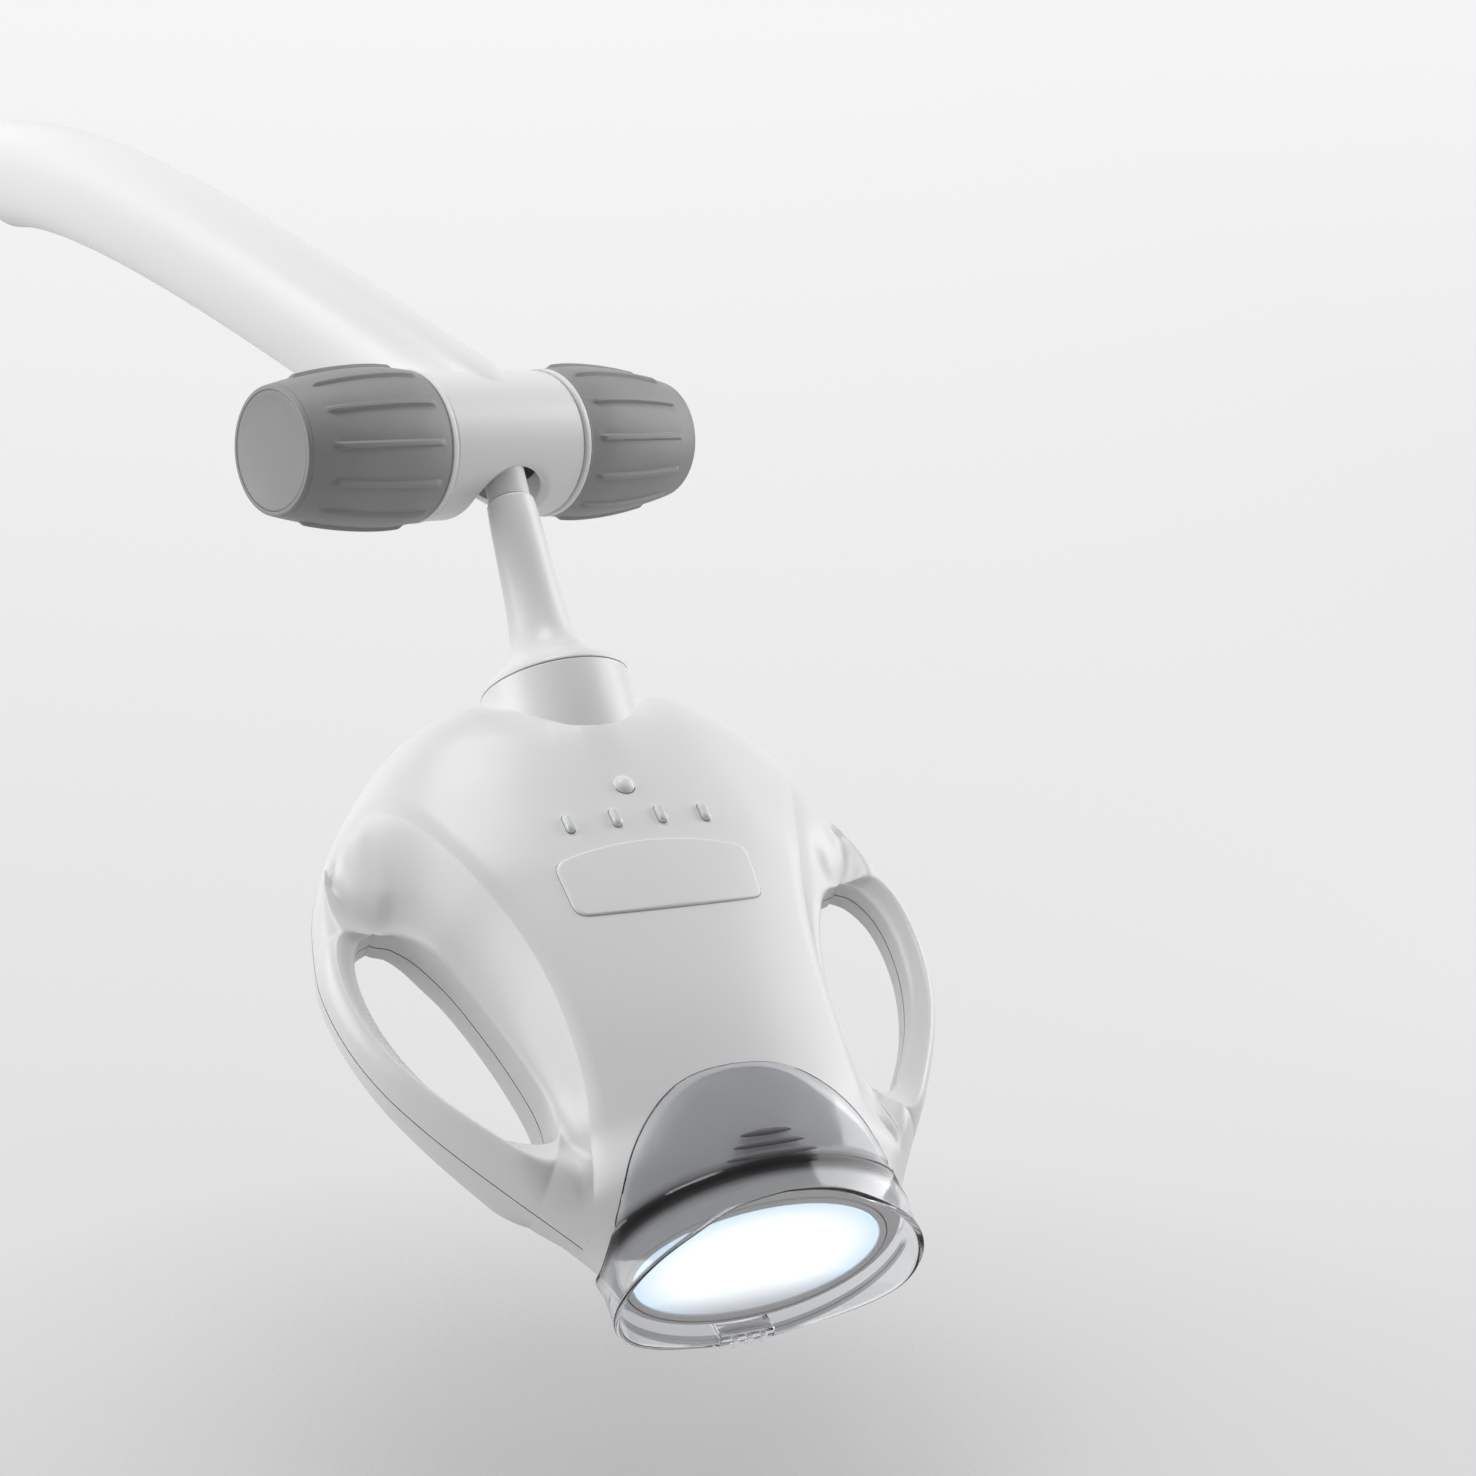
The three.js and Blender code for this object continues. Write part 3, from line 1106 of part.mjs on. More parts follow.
const swivelling = new THREE.Group();
swivelling.position.z = -neckLength;
swivelling.rotation.z = -radians(swivelDeg);
neck.add(swivelling);
buildCollar(swivelling);

const head = new THREE.Group();
head.rotation.x = -radians(headSlopeDeg);
swivelling.add(head);
buildHead(head);
buildScrews(head);
buildBoard(head);
buildButton(head);
buildWindow(head);
buildEngine(head);
buildGuide(head);

export default lamp;
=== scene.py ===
# Whitening lamp head on its clamp bar: fine surfaces, materials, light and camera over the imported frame.
import math
import bpy
import numpy as np
from mathutils import Matrix


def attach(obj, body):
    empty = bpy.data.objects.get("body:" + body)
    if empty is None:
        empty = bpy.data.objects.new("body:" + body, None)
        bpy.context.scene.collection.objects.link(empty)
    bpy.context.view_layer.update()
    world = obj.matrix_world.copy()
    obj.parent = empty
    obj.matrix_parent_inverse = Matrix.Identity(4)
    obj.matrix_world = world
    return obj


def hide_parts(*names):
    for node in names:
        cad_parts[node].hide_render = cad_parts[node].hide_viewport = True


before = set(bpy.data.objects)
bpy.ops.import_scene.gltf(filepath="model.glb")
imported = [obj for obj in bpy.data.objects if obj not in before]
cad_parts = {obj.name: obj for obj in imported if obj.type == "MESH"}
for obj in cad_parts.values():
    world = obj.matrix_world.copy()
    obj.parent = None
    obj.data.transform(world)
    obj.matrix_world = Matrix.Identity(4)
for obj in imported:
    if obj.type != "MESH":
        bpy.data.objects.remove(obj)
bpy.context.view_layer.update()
print("stage: frame loaded")

# Places of the jointed frames, in mm


def turn(axis, degrees):  # rotation about one axis through the origin, as a 4 by 4 matrix
    a = math.radians(degrees)
    c, s = math.cos(a), math.sin(a)
    m = np.eye(4)
    i, j = {"x": (1, 2), "y": (2, 0), "z": (0, 1)}[axis]
    m[i, i], m[i, j], m[j, i], m[j, j] = c, -s, s, c
    return m


def placed(name, data):  # new object in the scene
    piece = bpy.data.objects.new(name, data)
    bpy.context.scene.collection.objects.link(piece)
    return piece


def shift(x, y, z):  # translation as a 4 by 4 matrix
    m = np.eye(4)
    m[:3, 3] = (x, y, z)
    return m


places = {
    "barCentre": (0.0, -340.0, -118.0),
    "tilt": 29.95, "swing": 8.34, "swivel": 13.96, "slope": 20.0,
    "neckOffset": 11.76, "neckLength": 109.74,
    "noseBack": 32.0, "noseEnd": 232.0, "noseSlope": 16.4,
}
barFrame = shift(*places["barCentre"])
neckFrame = barFrame @ turn("x", -places["tilt"]) @ turn("y", places["swing"]) @ shift(0, -places["neckOffset"], 0)
collarFrame = neckFrame @ shift(0, 0, -places["neckLength"]) @ turn("z", -places["swivel"])
headFrame = collarFrame @ turn("x", -places["slope"])
noseFrame = headFrame @ shift(0, places["noseBack"], -places["noseEnd"]) @ turn("x", -places["noseSlope"])

# camera of the photograph: the bar is seen from its left and a little above
camera = {
    "eye": (-642.91, -796.08, 36.85),
    "right": (0.71161, -0.70256, 0.00311), "up": (0.10154, 0.10722, 0.98904), "back": (-0.69520, -0.70350, 0.14764),
    "focalPixels": 2600.0, "framePixels": 1476.0,
}
lens = bpy.data.cameras.new("photoCamera")
lens.sensor_width = 36
lens.lens = camera["focalPixels"] / camera["framePixels"] * 36
lens.clip_start, lens.clip_end = 0.02, 40
cameraObject = placed("photoCamera", lens)
view = np.eye(4)
view[:3, 0], view[:3, 1], view[:3, 2] = camera["right"], camera["up"], camera["back"]
view[:3, 3] = (np.array(camera["eye"]) + np.array(places["barCentre"])) * 0.001
cameraObject.matrix_world = Matrix(view.tolist())
bpy.context.scene.camera = cameraObject
print("stage: camera placed")

# Mesh tools


def inFrame(points, matrix):  # mm in a local frame to metres in the row frame
    flat = points.reshape(-1, 3)
    return (flat @ matrix[:3, :3].T + matrix[:3, 3]) * 0.001


def gridFaces(rows, columns, start, closeRows=False, closeColumns=False):
    # quads between neighbouring rows and columns of a grid, wrapping round where it is closed
    r = np.arange(rows if closeRows else rows - 1)
    c = np.arange(columns if closeColumns else columns - 1)
    i, j = np.meshgrid(r, c, indexing="ij")
    k, l = (i + 1) % rows, (j + 1) % columns
    quads = np.stack([i * columns + j, k * columns + j, k * columns + l, i * columns + l], -1)
    return quads.reshape(-1, 4) + start


def meshObject(name, patches, matrix, body, material, stands=(), weld=0.02, sharp=35.0):
    # patches: list of (grid of points, closed rows, closed columns, reversed), or one grid with closed columns;
    # they become one welded mesh riding on one body
    if isinstance(patches, np.ndarray):
        patches = [(patches, False, True, False)]
    points, quads, start = [], [], 0
    for grid, closeRows, closeColumns, reverse in patches:
        rows, columns = grid.shape[:2]
        faces = gridFaces(rows, columns, start, closeRows, closeColumns)
        points.append(inFrame(grid, matrix))
        quads.append(faces[:, ::-1] if reverse else faces)
        start += rows * columns
    points, quads = np.concatenate(points), np.concatenate(quads)
    # points nearer than the weld distance become one, and quads that lose a corner become triangles
    key = np.round(points / (weld * 0.001)).astype(np.int64)
    _, first, inverse = np.unique(key, axis=0, return_index=True, return_inverse=True)
    points = points[first]
    quads = inverse.reshape(-1)[quads]
    same = quads == np.roll(quads, -1, axis=1)
    whole = quads[~same.any(1)]
    edge = quads[same.sum(1) == 1]
    drop = np.argmax(edge == np.roll(edge, -1, axis=1), axis=1)
    keep = np.ones(edge.shape, bool)
    keep[np.arange(len(edge)), drop] = False
    tris = edge[keep].reshape(-1, 3)
    mesh = bpy.data.meshes.new(name)
    mesh.vertices.add(len(points))
    mesh.vertices.foreach_set("co", points.reshape(-1))
    corners = np.concatenate([whole.reshape(-1), tris.reshape(-1)]).astype(np.int32)
    totals = np.concatenate([np.full(len(whole), 4), np.full(len(tris), 3)]).astype(np.int32)
    starts = np.concatenate([[0], np.cumsum(totals)[:-1]]).astype(np.int32)
    mesh.loops.add(len(corners))
    mesh.loops.foreach_set("vertex_index", corners)
    mesh.polygons.add(len(totals))
    mesh.polygons.foreach_set("loop_start", starts)
    mesh.polygons.foreach_set("loop_total", totals)
    mesh.polygons.foreach_set("use_smooth", np.ones(len(totals), bool))
    mesh.update(calc_edges=True)
    mesh.validate()
    mesh.set_sharp_from_angle(angle=math.radians(sharp))
    mesh.materials.append(material)
    piece = placed(name, mesh)
    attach(piece, body)
    if stands:
        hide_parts(*stands)
    return piece


def runOf(points, power=1):  # length along a polyline up to each of its points
    return np.concatenate([[0], np.cumsum(np.linalg.norm(np.diff(points, axis=0), axis=1) ** power)])


def alongLine(points, want):  # points of a polyline at the wanted lengths
    run = runOf(points)
    return np.stack([np.interp(want, run, points[:, d]) for d in range(points.shape[1])], -1)


def spline(points, count):
    # smooth curve through the points, evenly spaced along its length
    p = np.asarray(points, float)
    p = np.vstack([2 * p[0] - p[1], p, 2 * p[-1] - p[-2]])
    knot = runOf(p, 0.5)
    t = np.linspace(knot[1], knot[-2], count * 8 + 1)
    k = np.clip(np.searchsorted(knot, t, side="right") - 1, 1, len(p) - 3)
    t0, t1, t2, t3 = (knot[k - 1 + n][:, None] for n in range(4))
    p0, p1, p2, p3 = (p[k - 1 + n] for n in range(4))
    s = t[:, None]
    a1 = (t1 - s) / (t1 - t0) * p0 + (s - t0) / (t1 - t0) * p1
    a2 = (t2 - s) / (t2 - t1) * p1 + (s - t1) / (t2 - t1) * p2
    a3 = (t3 - s) / (t3 - t2) * p2 + (s - t2) / (t3 - t2) * p3
    b1 = (t2 - s) / (t2 - t0) * a1 + (s - t0) / (t2 - t0) * a2
    b2 = (t3 - s) / (t3 - t1) * a2 + (s - t1) / (t3 - t1) * a3
    fine = (t2 - s) / (t2 - t1) * b1 + (s - t1) / (t2 - t1) * b2
    return alongLine(fine, np.linspace(0, runOf(fine)[-1], count))


def smoothTable(table):  # smooth function through [place, value] pairs
    xs, values = np.array(table, float).T

    def at(x):
        x = np.clip(np.asarray(x, float), xs[0], xs[-1])
        k = np.clip(np.searchsorted(xs, x, side="right") - 1, 0, len(xs) - 2)
        before, after = np.maximum(k - 1, 0), np.minimum(k + 2, len(xs) - 1)
        gap = xs[k + 1] - xs[k]
        m0 = (values[k + 1] - values[before]) / (xs[k + 1] - xs[before])
        m1 = (values[after] - values[k]) / (xs[after] - xs[k])
        t = (x - xs[k]) / gap
        return ((2 * t**3 - 3 * t**2 + 1) * values[k] + (t**3 - 2 * t**2 + t) * gap * m0
                + (-2 * t**3 + 3 * t**2) * values[k + 1] + (t**3 - t**2) * gap * m1)

    return at


def inOrder(values):  # smooth function through values at 0, 1, 2 and so on
    return smoothTable(list(enumerate(values)))


def circle(count):  # evenly spaced angles, once round
    return np.linspace(0, 2 * np.pi, count, endpoint=False)


def smooth(t):  # 3 t^2 - 2 t^3, held at 0 and 1
    t = np.clip(t, 0, 1)
    return t * t * (3 - 2 * t)


def turned(profile, sides, axis="z"):
    # profile of (radius, height) carried round an axis: (r cos a, r sin a, h)
    profile = np.asarray(profile, float)
    a = circle(sides)
    r, h = profile[:, :1], profile[:, 1:]
    u, v, w = r * np.cos(a), r * np.sin(a), h + 0 * a
    order = {"z": (u, v, w), "x": (w, u, v), "y": (v, w, u)}[axis]
    return np.stack(order, -1)


def rounded(corners, radii, steps=5):
    # polyline whose corners are replaced by arcs that start and end a radius away from them
    corners = [np.asarray(c, float) for c in corners]
    out = [corners[0]]
    for k in range(1, len(corners) - 1):
        before, here, after = corners[k - 1], corners[k], corners[k + 1]
        a, b = before - here, after - here
        la, lb = np.linalg.norm(a), np.linalg.norm(b)
        r = min(radii[k - 1], la * 0.49, lb * 0.49)
        if r <= 0:
            out.append(here)
            continue
        s, e = here + a / la * r, here + b / lb * r
        for t in np.linspace(0, 1, steps):
            out.append((1 - t) ** 2 * s + 2 * t * (1 - t) * here + t**2 * e)
    out.append(corners[-1])
    return np.array(out)


# Materials


def nodesOf(name):
    material = bpy.data.materials.new(name)
    material.use_nodes = True
    tree = material.node_tree
    return material, tree, tree.nodes["Principled BSDF"]


def feed(tree, node, inputs):  # each input gets a plain value or another node's output
    for key, value in dict(inputs).items():
        if isinstance(value, bpy.types.NodeSocket):
            tree.links.new(value, node.inputs[key])
        else:
            node.inputs[key].default_value = value
    return node


def added(tree, kind, inputs=(), **settings):
    node = tree.nodes.new("ShaderNode" + kind)
    for key, value in settings.items():
        setattr(node, key, value)
    return feed(tree, node, inputs)


def noise(tree, scale, detail=3.0, rough=0.5, stretch=(1, 1, 1)):
    place = added(tree, "TexCoord").outputs["Object"]
    mapping = added(tree, "Mapping", {"Vector": place, "Scale": stretch})
    return added(tree, "TexNoise", {"Vector": mapping.outputs["Vector"], "Scale": scale, "Detail": detail,
                                    "Roughness": rough}).outputs["Fac"]


def span(tree, source, low, high, toLow, toHigh):
    return added(tree, "MapRange", {"Value": source, "From Min": low, "From Max": high, "To Min": toLow,
                                    "To Max": toHigh}).outputs["Result"]


def blend(tree, factor, first, second):
    return added(tree, "Mix", {"Factor": factor, "A": first, "B": second}, data_type="RGBA").outputs["Result"]


def ramp(tree, source, low, high, colours):
    return blend(tree, span(tree, source, low, high, 0, 1), *((*colour, 1) for colour in colours))


def bump(tree, shader, height, strength, distance):
    node = added(tree, "Bump", {"Strength": strength, "Distance": distance, "Height": height})
    tree.links.new(node.outputs["Normal"], shader.inputs["Normal"])


noiseSpan = (0.3, 0.7)  # the share of a noise that is spread over the whole range
peelDepth = 0.0004
metalMarks = {"dark": 0.82, "strength": 0.15, "depth": 0.0003}


def shellPlastic(name, colour, drift, scales, roughness, peel, coat=(0.0, 0.3)):
    # moulded plastic: slow colour drift, fine roughness mottling, faint orange peel, thin clear gloss;
    # scales are those of the drift, the mottling and the peel, coat is its weight and roughness
    material, tree, shader = nodesOf(name)
    colour = np.array(colour)
    drifting = ramp(tree, noise(tree, scales[0]), *noiseSpan, (colour * drift, colour))
    rough = span(tree, noise(tree, scales[1], 5, 0.6), *noiseSpan, *roughness)
    feed(tree, shader, {"Base Color": drifting, "Roughness": rough, "IOR": 1.5, "Coat Weight": coat[0],
                        "Coat Roughness": coat[1]})
    bump(tree, shader, noise(tree, scales[2], 2), peel, peelDepth)
    return material


def metal(name, look):
    # turned or milled metal: stretched noise for tool marks, roughness varied with it
    material, tree, shader = nodesOf(name)
    marks = noise(tree, look["scale"], 4, 0.6, look["stretch"])
    base = np.array(look["colour"])
    feed(tree, shader, {"Base Color": ramp(tree, marks, *noiseSpan, (base * metalMarks["dark"], base)),
                        "Roughness": span(tree, marks, *noiseSpan, *look["roughness"]), "Metallic": 1.0})
    bump(tree, shader, marks, metalMarks["strength"], metalMarks["depth"])
    return material


white = (0.87, 0.87, 0.875)
shellWhite = shellPlastic("glossWhiteShell", white, 0.994, (9, 60, 900), (0.37, 0.42), 0.012, (0.14, 0.2))
armWhite = shellPlastic("glossWhiteArm", white, 0.992, (7, 50, 800), (0.37, 0.42), 0.012, (0.14, 0.2))
sleeveGrey = shellPlastic("sleeveGrey", (0.76, 0.76, 0.77), 0.96, (60, 300, 700), (0.38, 0.52), 0.08)
# painted shadow: near black for the shade in seams, gaps and recesses
seamDark = shellPlastic("seamShadow", (0.035, 0.035, 0.037), 0.9, (60, 300, 700), (0.7, 0.85), 0.05)
knobRubber = shellPlastic("softTouchGrey", (0.325, 0.325, 0.328), 0.93, (45, 900, 2600), (0.42, 0.56), 0.22)
capGrey = shellPlastic("fineMattGrey", (0.30, 0.30, 0.305), 0.95, (40, 700, 2200), (0.34, 0.46), 0.14)
blackPlastic = shellPlastic("grainedBlack", (0.022, 0.022, 0.024), 0.8, (60, 500, 1500), (0.4, 0.6), 0.2)
bearingTan = shellPlastic("bearingTan", (0.50, 0.42, 0.26), 0.9, (80, 500, 1200), (0.45, 0.6), 0.1)
brakeBrown = shellPlastic("brakeLining", (0.10, 0.08, 0.06), 0.7, (200, 900, 1800), (0.75, 0.95), 0.4)
boardGreen = shellPlastic("solderMask", (0.012, 0.10, 0.035), 0.8, (120, 700, 1500), (0.3, 0.45), 0.1, (0.2, 0.1))
ribShade = shellPlastic("ribShade", (0.16, 0.16, 0.17), 0.9, (120, 600, 1500), (0.45, 0.55), 0.05)
lightPipe = shellPlastic("lightPipe", (0.80, 0.81, 0.82), 0.95, (200, 900, 1500), (0.2, 0.3), 0.05, (0.2, 0.1))
turnedSteel = metal("turnedSteel", {"colour": (0.56, 0.57, 0.58), "scale": 260, "stretch": (1, 1, 6),
                                    "roughness": (0.22, 0.38)})
milledAluminium = metal("milledAluminium", {"colour": (0.70, 0.71, 0.72), "scale": 180, "stretch": (5, 1, 1),
                                            "roughness": (0.3, 0.45)})
polishedFilm = metal("polishedFilm", {"colour": (0.86, 0.87, 0.88), "scale": 60, "stretch": (1, 1, 1),
                                      "roughness": (0.05, 0.1)})


def noseCoordinate(tree, place, row, unit=1.0):
    # one coordinate of the nose frame in the given unit, from object coordinates in metres
    inverse = np.linalg.inv(noseFrame)[row] / unit
    dot = added(tree, "VectorMath", {0: place, 1: tuple(inverse[:3] * 1000)}, operation="DOT_PRODUCT")
    return added(tree, "Math", {0: dot.outputs["Value"], 1: inverse[3]}, operation="ADD").outputs["Value"]


def clearPlastic(name, look):
    # smoky clear plastic; each band paints a dark reflection over the tint between two heights above the nose plane,
    # with a straight fade at both of its edges and another in depth
    material, tree, shader = nodesOf(name)
    colour = ramp(tree, noise(tree, look["tintScale"], 2), *look["tintSpan"], look["tint"])
    place = added(tree, "TexCoord").outputs["Object"]
    depth, height = (noseCoordinate(tree, place, row) for row in (1, 2))
    # painted reflection: each band lays a dark colour over the glass tint
    for low, high, fade, front, back, dark in look["paintedDarkBands"]:
        mask = span(tree, height, low - fade, low, 0, 1)
        for other in (span(tree, height, high, high + fade, 1, 0), span(tree, depth, front, back, 0, 1)):
            mask = added(tree, "Math", {0: mask, 1: other}, operation="MULTIPLY").outputs["Value"]
        colour = blend(tree, mask, colour, (*dark, 1))
    rough = span(tree, noise(tree, look["roughScale"]), *noiseSpan, *look["roughness"])
    feed(tree, shader, {"Base Color": colour, "Transmission Weight": 1.0, "IOR": 1.42, "Roughness": rough})
    return material


# painted dark reflections as bands, a broad one under the grip ribs and two thin dark lines lower down: low and high
# edge, fade, the places in depth where they set in and are full, and their painted colour
guideClear = clearPlastic("smokeClearGuide", {
    "tint": ((0.90, 0.91, 0.935), (0.93, 0.94, 0.96)), "tintScale": 40, "tintSpan": (0.35, 0.65),
    "roughness": (0.04, 0.09), "roughScale": 220,
    "paintedDarkBands": [(3.0, 5.5, 2.5, 4.0, -8.0, (0.16, 0.155, 0.16)),
              (-12.0, -10.6, 0.5, 40.0, -40.0, (0.30, 0.31, 0.34)),
              (-2.7, -1.5, 0.4, 0.0, 3.0, (0.26, 0.27, 0.30))]})


def windowGlow(name, look):
    # lit diffuser: white core falling to pale blue at the rim, with a grey band of painted shade at its rear edge,
    # where the reflector's lower part lies dim behind the lens;
    # distance from the centre is read in the window's own plane
    material, tree, shader = nodesOf(name)
    place = added(tree, "TexCoord").outputs["Object"]
    across = noseCoordinate(tree, place, 0, look["halfWidth"])
    deep = noseCoordinate(tree, place, 1, look["halfDepth"])
    joined = added(tree, "CombineXYZ", {0: across, 1: deep})
    length = added(tree, "VectorMath", {0: joined.outputs["Vector"]}, operation="LENGTH")
    rim = ramp(tree, length.outputs["Value"], look["coreEdge"], 1.0, (look["core"], look["edge"]))
    # painted shade: the glow is greyed towards the window's rear edge
    lower = span(tree, deep, look["bandFrom"], look["bandTo"], 0, 1)
    feed(tree, shader, {"Emission Color": blend(tree, lower, rim, (*look["band"], 1)),
                        "Emission Strength": look["strength"], "Base Color": look["unlit"],
                        "Roughness": look["roughness"]})
    return material


glowLens = windowGlow("litWindow", {
    "halfWidth": 46.0, "halfDepth": 22.0, "coreEdge": 0.72, "core": (0.92, 0.97, 1.0), "edge": (0.55, 0.72, 0.86),
    "band": (0.34, 0.33, 0.34), "bandFrom": 0.5, "bandTo": 1.0, "strength": 0.9,
    "unlit": (0.5, 0.52, 0.55, 1), "roughness": 0.25})
print("stage: materials made")

# Arm

armLook = {"reach": 340.0, "rise": 118.0, "startRise": 7.0, "bend": 260.0, "halfHeight": 24.5, "halfWidth": 21.0,
           "wall": 3.0, "rows": 96, "sides": 96, "squareness": 2.25, "before": -0.022,
           "wallLine": 29.0, "even": 0.09, "halvings": 24, "topFrom": 23.0, "topOver": 6.0, "closeRows": 18,
           "closeTo": 0.03, "closeShare": 0.74, "boreFrom": 60, "endShare": 0.12}


def armAt(look, t, across, upward):
    # centre(t) on a parabola, moved by the section's own offsets across and upward
    p0, p1, p2 = np.array([(0, look["startRise"]), (look["bend"], look["rise"]), (look["reach"], look["rise"])])
    t = t[..., None]
    centre = (1 - t) ** 2 * p0 + 2 * t * (1 - t) * p1 + t**2 * p2
    tangent = 2 * (1 - t) * (p1 - p0) + 2 * t * (p2 - p1)
    tangent /= np.linalg.norm(tangent, axis=-1)[..., None]
    y = centre[..., 0] - tangent[..., 1] * upward
    z = centre[..., 1] + tangent[..., 0] * upward
    return np.stack([across + 0 * y, y, z], -1)


def armSurface(look, inset, squareness):
    # oval carried along the parabola: w cos(a) across + h sin(a) upward, corners slightly squared
    # its top is drawn in over the bar, so that it closes inside the barrel; elsewhere it starts in the barrel's wall
    a = circle(look["sides"])[None]
    c = np.sign(np.cos(a)) * np.abs(np.cos(a)) ** (2 / squareness)
    s = np.sign(np.sin(a)) * np.abs(np.sin(a)) ** (2 / squareness)
    across, upward = (look["halfWidth"] - inset) * c, (look["halfHeight"] - inset) * s
    near, far = 0 * a, look["even"] + 0 * a
    for _ in range(look["halvings"]):  # halving finds where each side line leaves the wall
        middle = (near + far) / 2
        inside = np.linalg.norm(armAt(look, middle, across, upward)[..., 1:], axis=-1) < look["wallLine"]
        near, far = np.where(inside, middle, near), np.where(inside, far, middle)
    before, closeTo, share = look["before"], look["closeTo"], look["closeShare"]
    late = near + before * smooth((look["startRise"] + upward - look["topFrom"]) / look["topOver"]) - before
    rows = np.concatenate([np.linspace(before, closeTo, look["closeRows"])[:-1],
                           np.linspace(closeTo, 1, look["rows"])])[:, None]
    t = rows + late * np.clip((look["even"] - rows) / (look["even"] - before), 0, 1)
    close = np.clip((t - before) / (closeTo - before), 0, 1)
    close = share + (1 - share) * np.sqrt(1 - (1 - close) ** 2)
    return armAt(look, t, across * close, upward * close)


armOuter = armSurface(armLook, 0, armLook["squareness"])
armInner = armSurface(armLook, armLook["wall"], armLook["squareness"])
rim, bore, tip = armOuter[-1], armInner[-1], (0, armOuter[-1, 0, 1], 0)
flatRim, flatBore = rim * (1, 0, 1) + tip, bore * (1, 0, 1) + tip
armEnd = np.stack([rim, flatRim + (flatBore - flatRim) * armLook["endShare"], flatBore])
meshObject("armCoverSkin", [(armOuter, False, True, True), (armEnd, False, True, True),
                            (armInner[armLook["boreFrom"]:][::-1], False, True, True)],
           barFrame, "arm", armWhite, ["arm_cover"])
print("stage: arm made")

# Clamp bar

barrelLook = {"radius": 28.6, "inner": 25.4, "halfLength": 31.2, "edge": 0.8,
              "corner": ((0, 0.8), (0.12, 0.45), (0.4, 0.12), (0.8, 0)), "slotHalf": 16.3, "slotFrom": 49.0,
              "slotTo": 106.0, "around": 240, "webs": (21.2, 25.2), "webBore": 9.3, "spread": 26, "bore": 14,
              "lip": [(0.0, 25.4), (0.0, 26.6), (0.25, 27.3), (0.8, 27.9), (1.7, 28.35), (2.6, 28.55), (3.6, 28.6)]}
trimLook = {"bore": 22.4, "radius": 29.3, "from": 31.6, "to": 34.2, "corners": (0.9, 0.5)}


def slotOutline(look, grow, count):
    # stadium on the unrolled barrel: half circles at both ends, straight sides, as (x, arc length)
    r = look["radius"]
    s0, s1, a = math.radians(look["slotFrom"]) * r, math.radians(look["slotTo"]) * r, look["slotHalf"] + grow
    straight, half = s1 - s0, math.pi * look["slotHalf"]
    total = 2 * straight + 2 * half
    d = (np.arange(count) / count * total + total - straight / 2) % total
    x, s = np.empty(count), np.empty(count)
    one = d < half
    x[one], s[one] = a * np.cos(d[one] / look["slotHalf"]), s0 - a * np.sin(d[one] / look["slotHalf"])
    two = (d >= half) & (d < half + straight)
    x[two], s[two] = -a, s0 + (d[two] - half)
    three = (d >= half + straight) & (d < 2 * half + straight)
    e = (d[three] - half - straight) / look["slotHalf"]
    x[three], s[three] = -a * np.cos(e), s1 + a * np.sin(e)
    four = d >= 2 * half + straight
    x[four], s[four] = a, s1 - (d[four] - 2 * half - straight)
    return x, s


def barrelGrids(look):
    # rings that widen from the slot's lip to the edge of the unrolled barrel, then rolled up
    n, r = look["around"], look["radius"]
    x, s = slotOutline(look, 0.0, n)
    mid = math.radians((look["slotFrom"] + look["slotTo"]) / 2) * r
    hx, hs = look["halfLength"] - look["edge"], math.pi * r
    reach = np.maximum(np.abs(x) / hx, np.abs(s - mid) / hs)
    ex, es = x / reach, mid + (s - mid) / reach
    rows = [(*slotOutline(look, grow, n), np.full(n, radius)) for grow, radius in look["lip"]]
    gx, gs = slotOutline(look, look["lip"][-1][0], n)
    rows += [(gx + (ex - gx) * w, gs + (es - gs) * w, np.full(n, r)) for w in np.linspace(0, 1, look["spread"])[1:]]
    inside = [(x + (ex - x) * w, s + (es - s) * w, np.full(n, look["inner"])) for w in np.linspace(0, 1, look["bore"])]

    def roll(rings):
        across, along, radius = np.moveaxis(np.array(rings), 1, 0)
        return np.stack([across, -radius * np.cos(along / r), -radius * np.sin(along / r)], -1)

    return roll(rows), roll(inside)


outerGrid, innerGrid = barrelGrids(barrelLook)
b = barrelLook
endProfile = [(b["radius"] - down, b["halfLength"] - back) for down, back in b["corner"]]
endProfile += [(b["inner"], b["halfLength"]), (b["inner"], b["halfLength"] - b["edge"])]
webProfile = [(b["inner"], b["webs"][0]), (b["webBore"], b["webs"][0]), (b["webBore"], b["webs"][1]),
              (b["inner"], b["webs"][1])]
barrelPatches = [(outerGrid, False, True, False), (innerGrid[::-1], False, True, False)]
for side in (1, -1):
    rim = turned([(q, side * h) for q, h in endProfile], 200, "x")
    web = turned([(q, side * h) for q, h in webProfile], 120, "x")
    barrelPatches += [(rim, False, True, side > 0), (web, False, True, side > 0)]
meshObject("barrelSkin", barrelPatches, barFrame, "arm", shellWhite, ["barrel"])

tl = trimLook
ringProfile = rounded([(tl["bore"], tl["from"]), (tl["radius"], tl["from"]), (tl["radius"], tl["to"]),
                       (tl["bore"], tl["to"])], tl["corners"], 6)
for side, word in ((-1, "left"), (1, "right")):
    ring = turned(ringProfile * (1, side), 200, "x")
    meshObject(f"trimRing_{word}", [(ring, False, True, side > 0)], barFrame, "arm", shellWhite,
               [f"barrel_ring_{word}"])

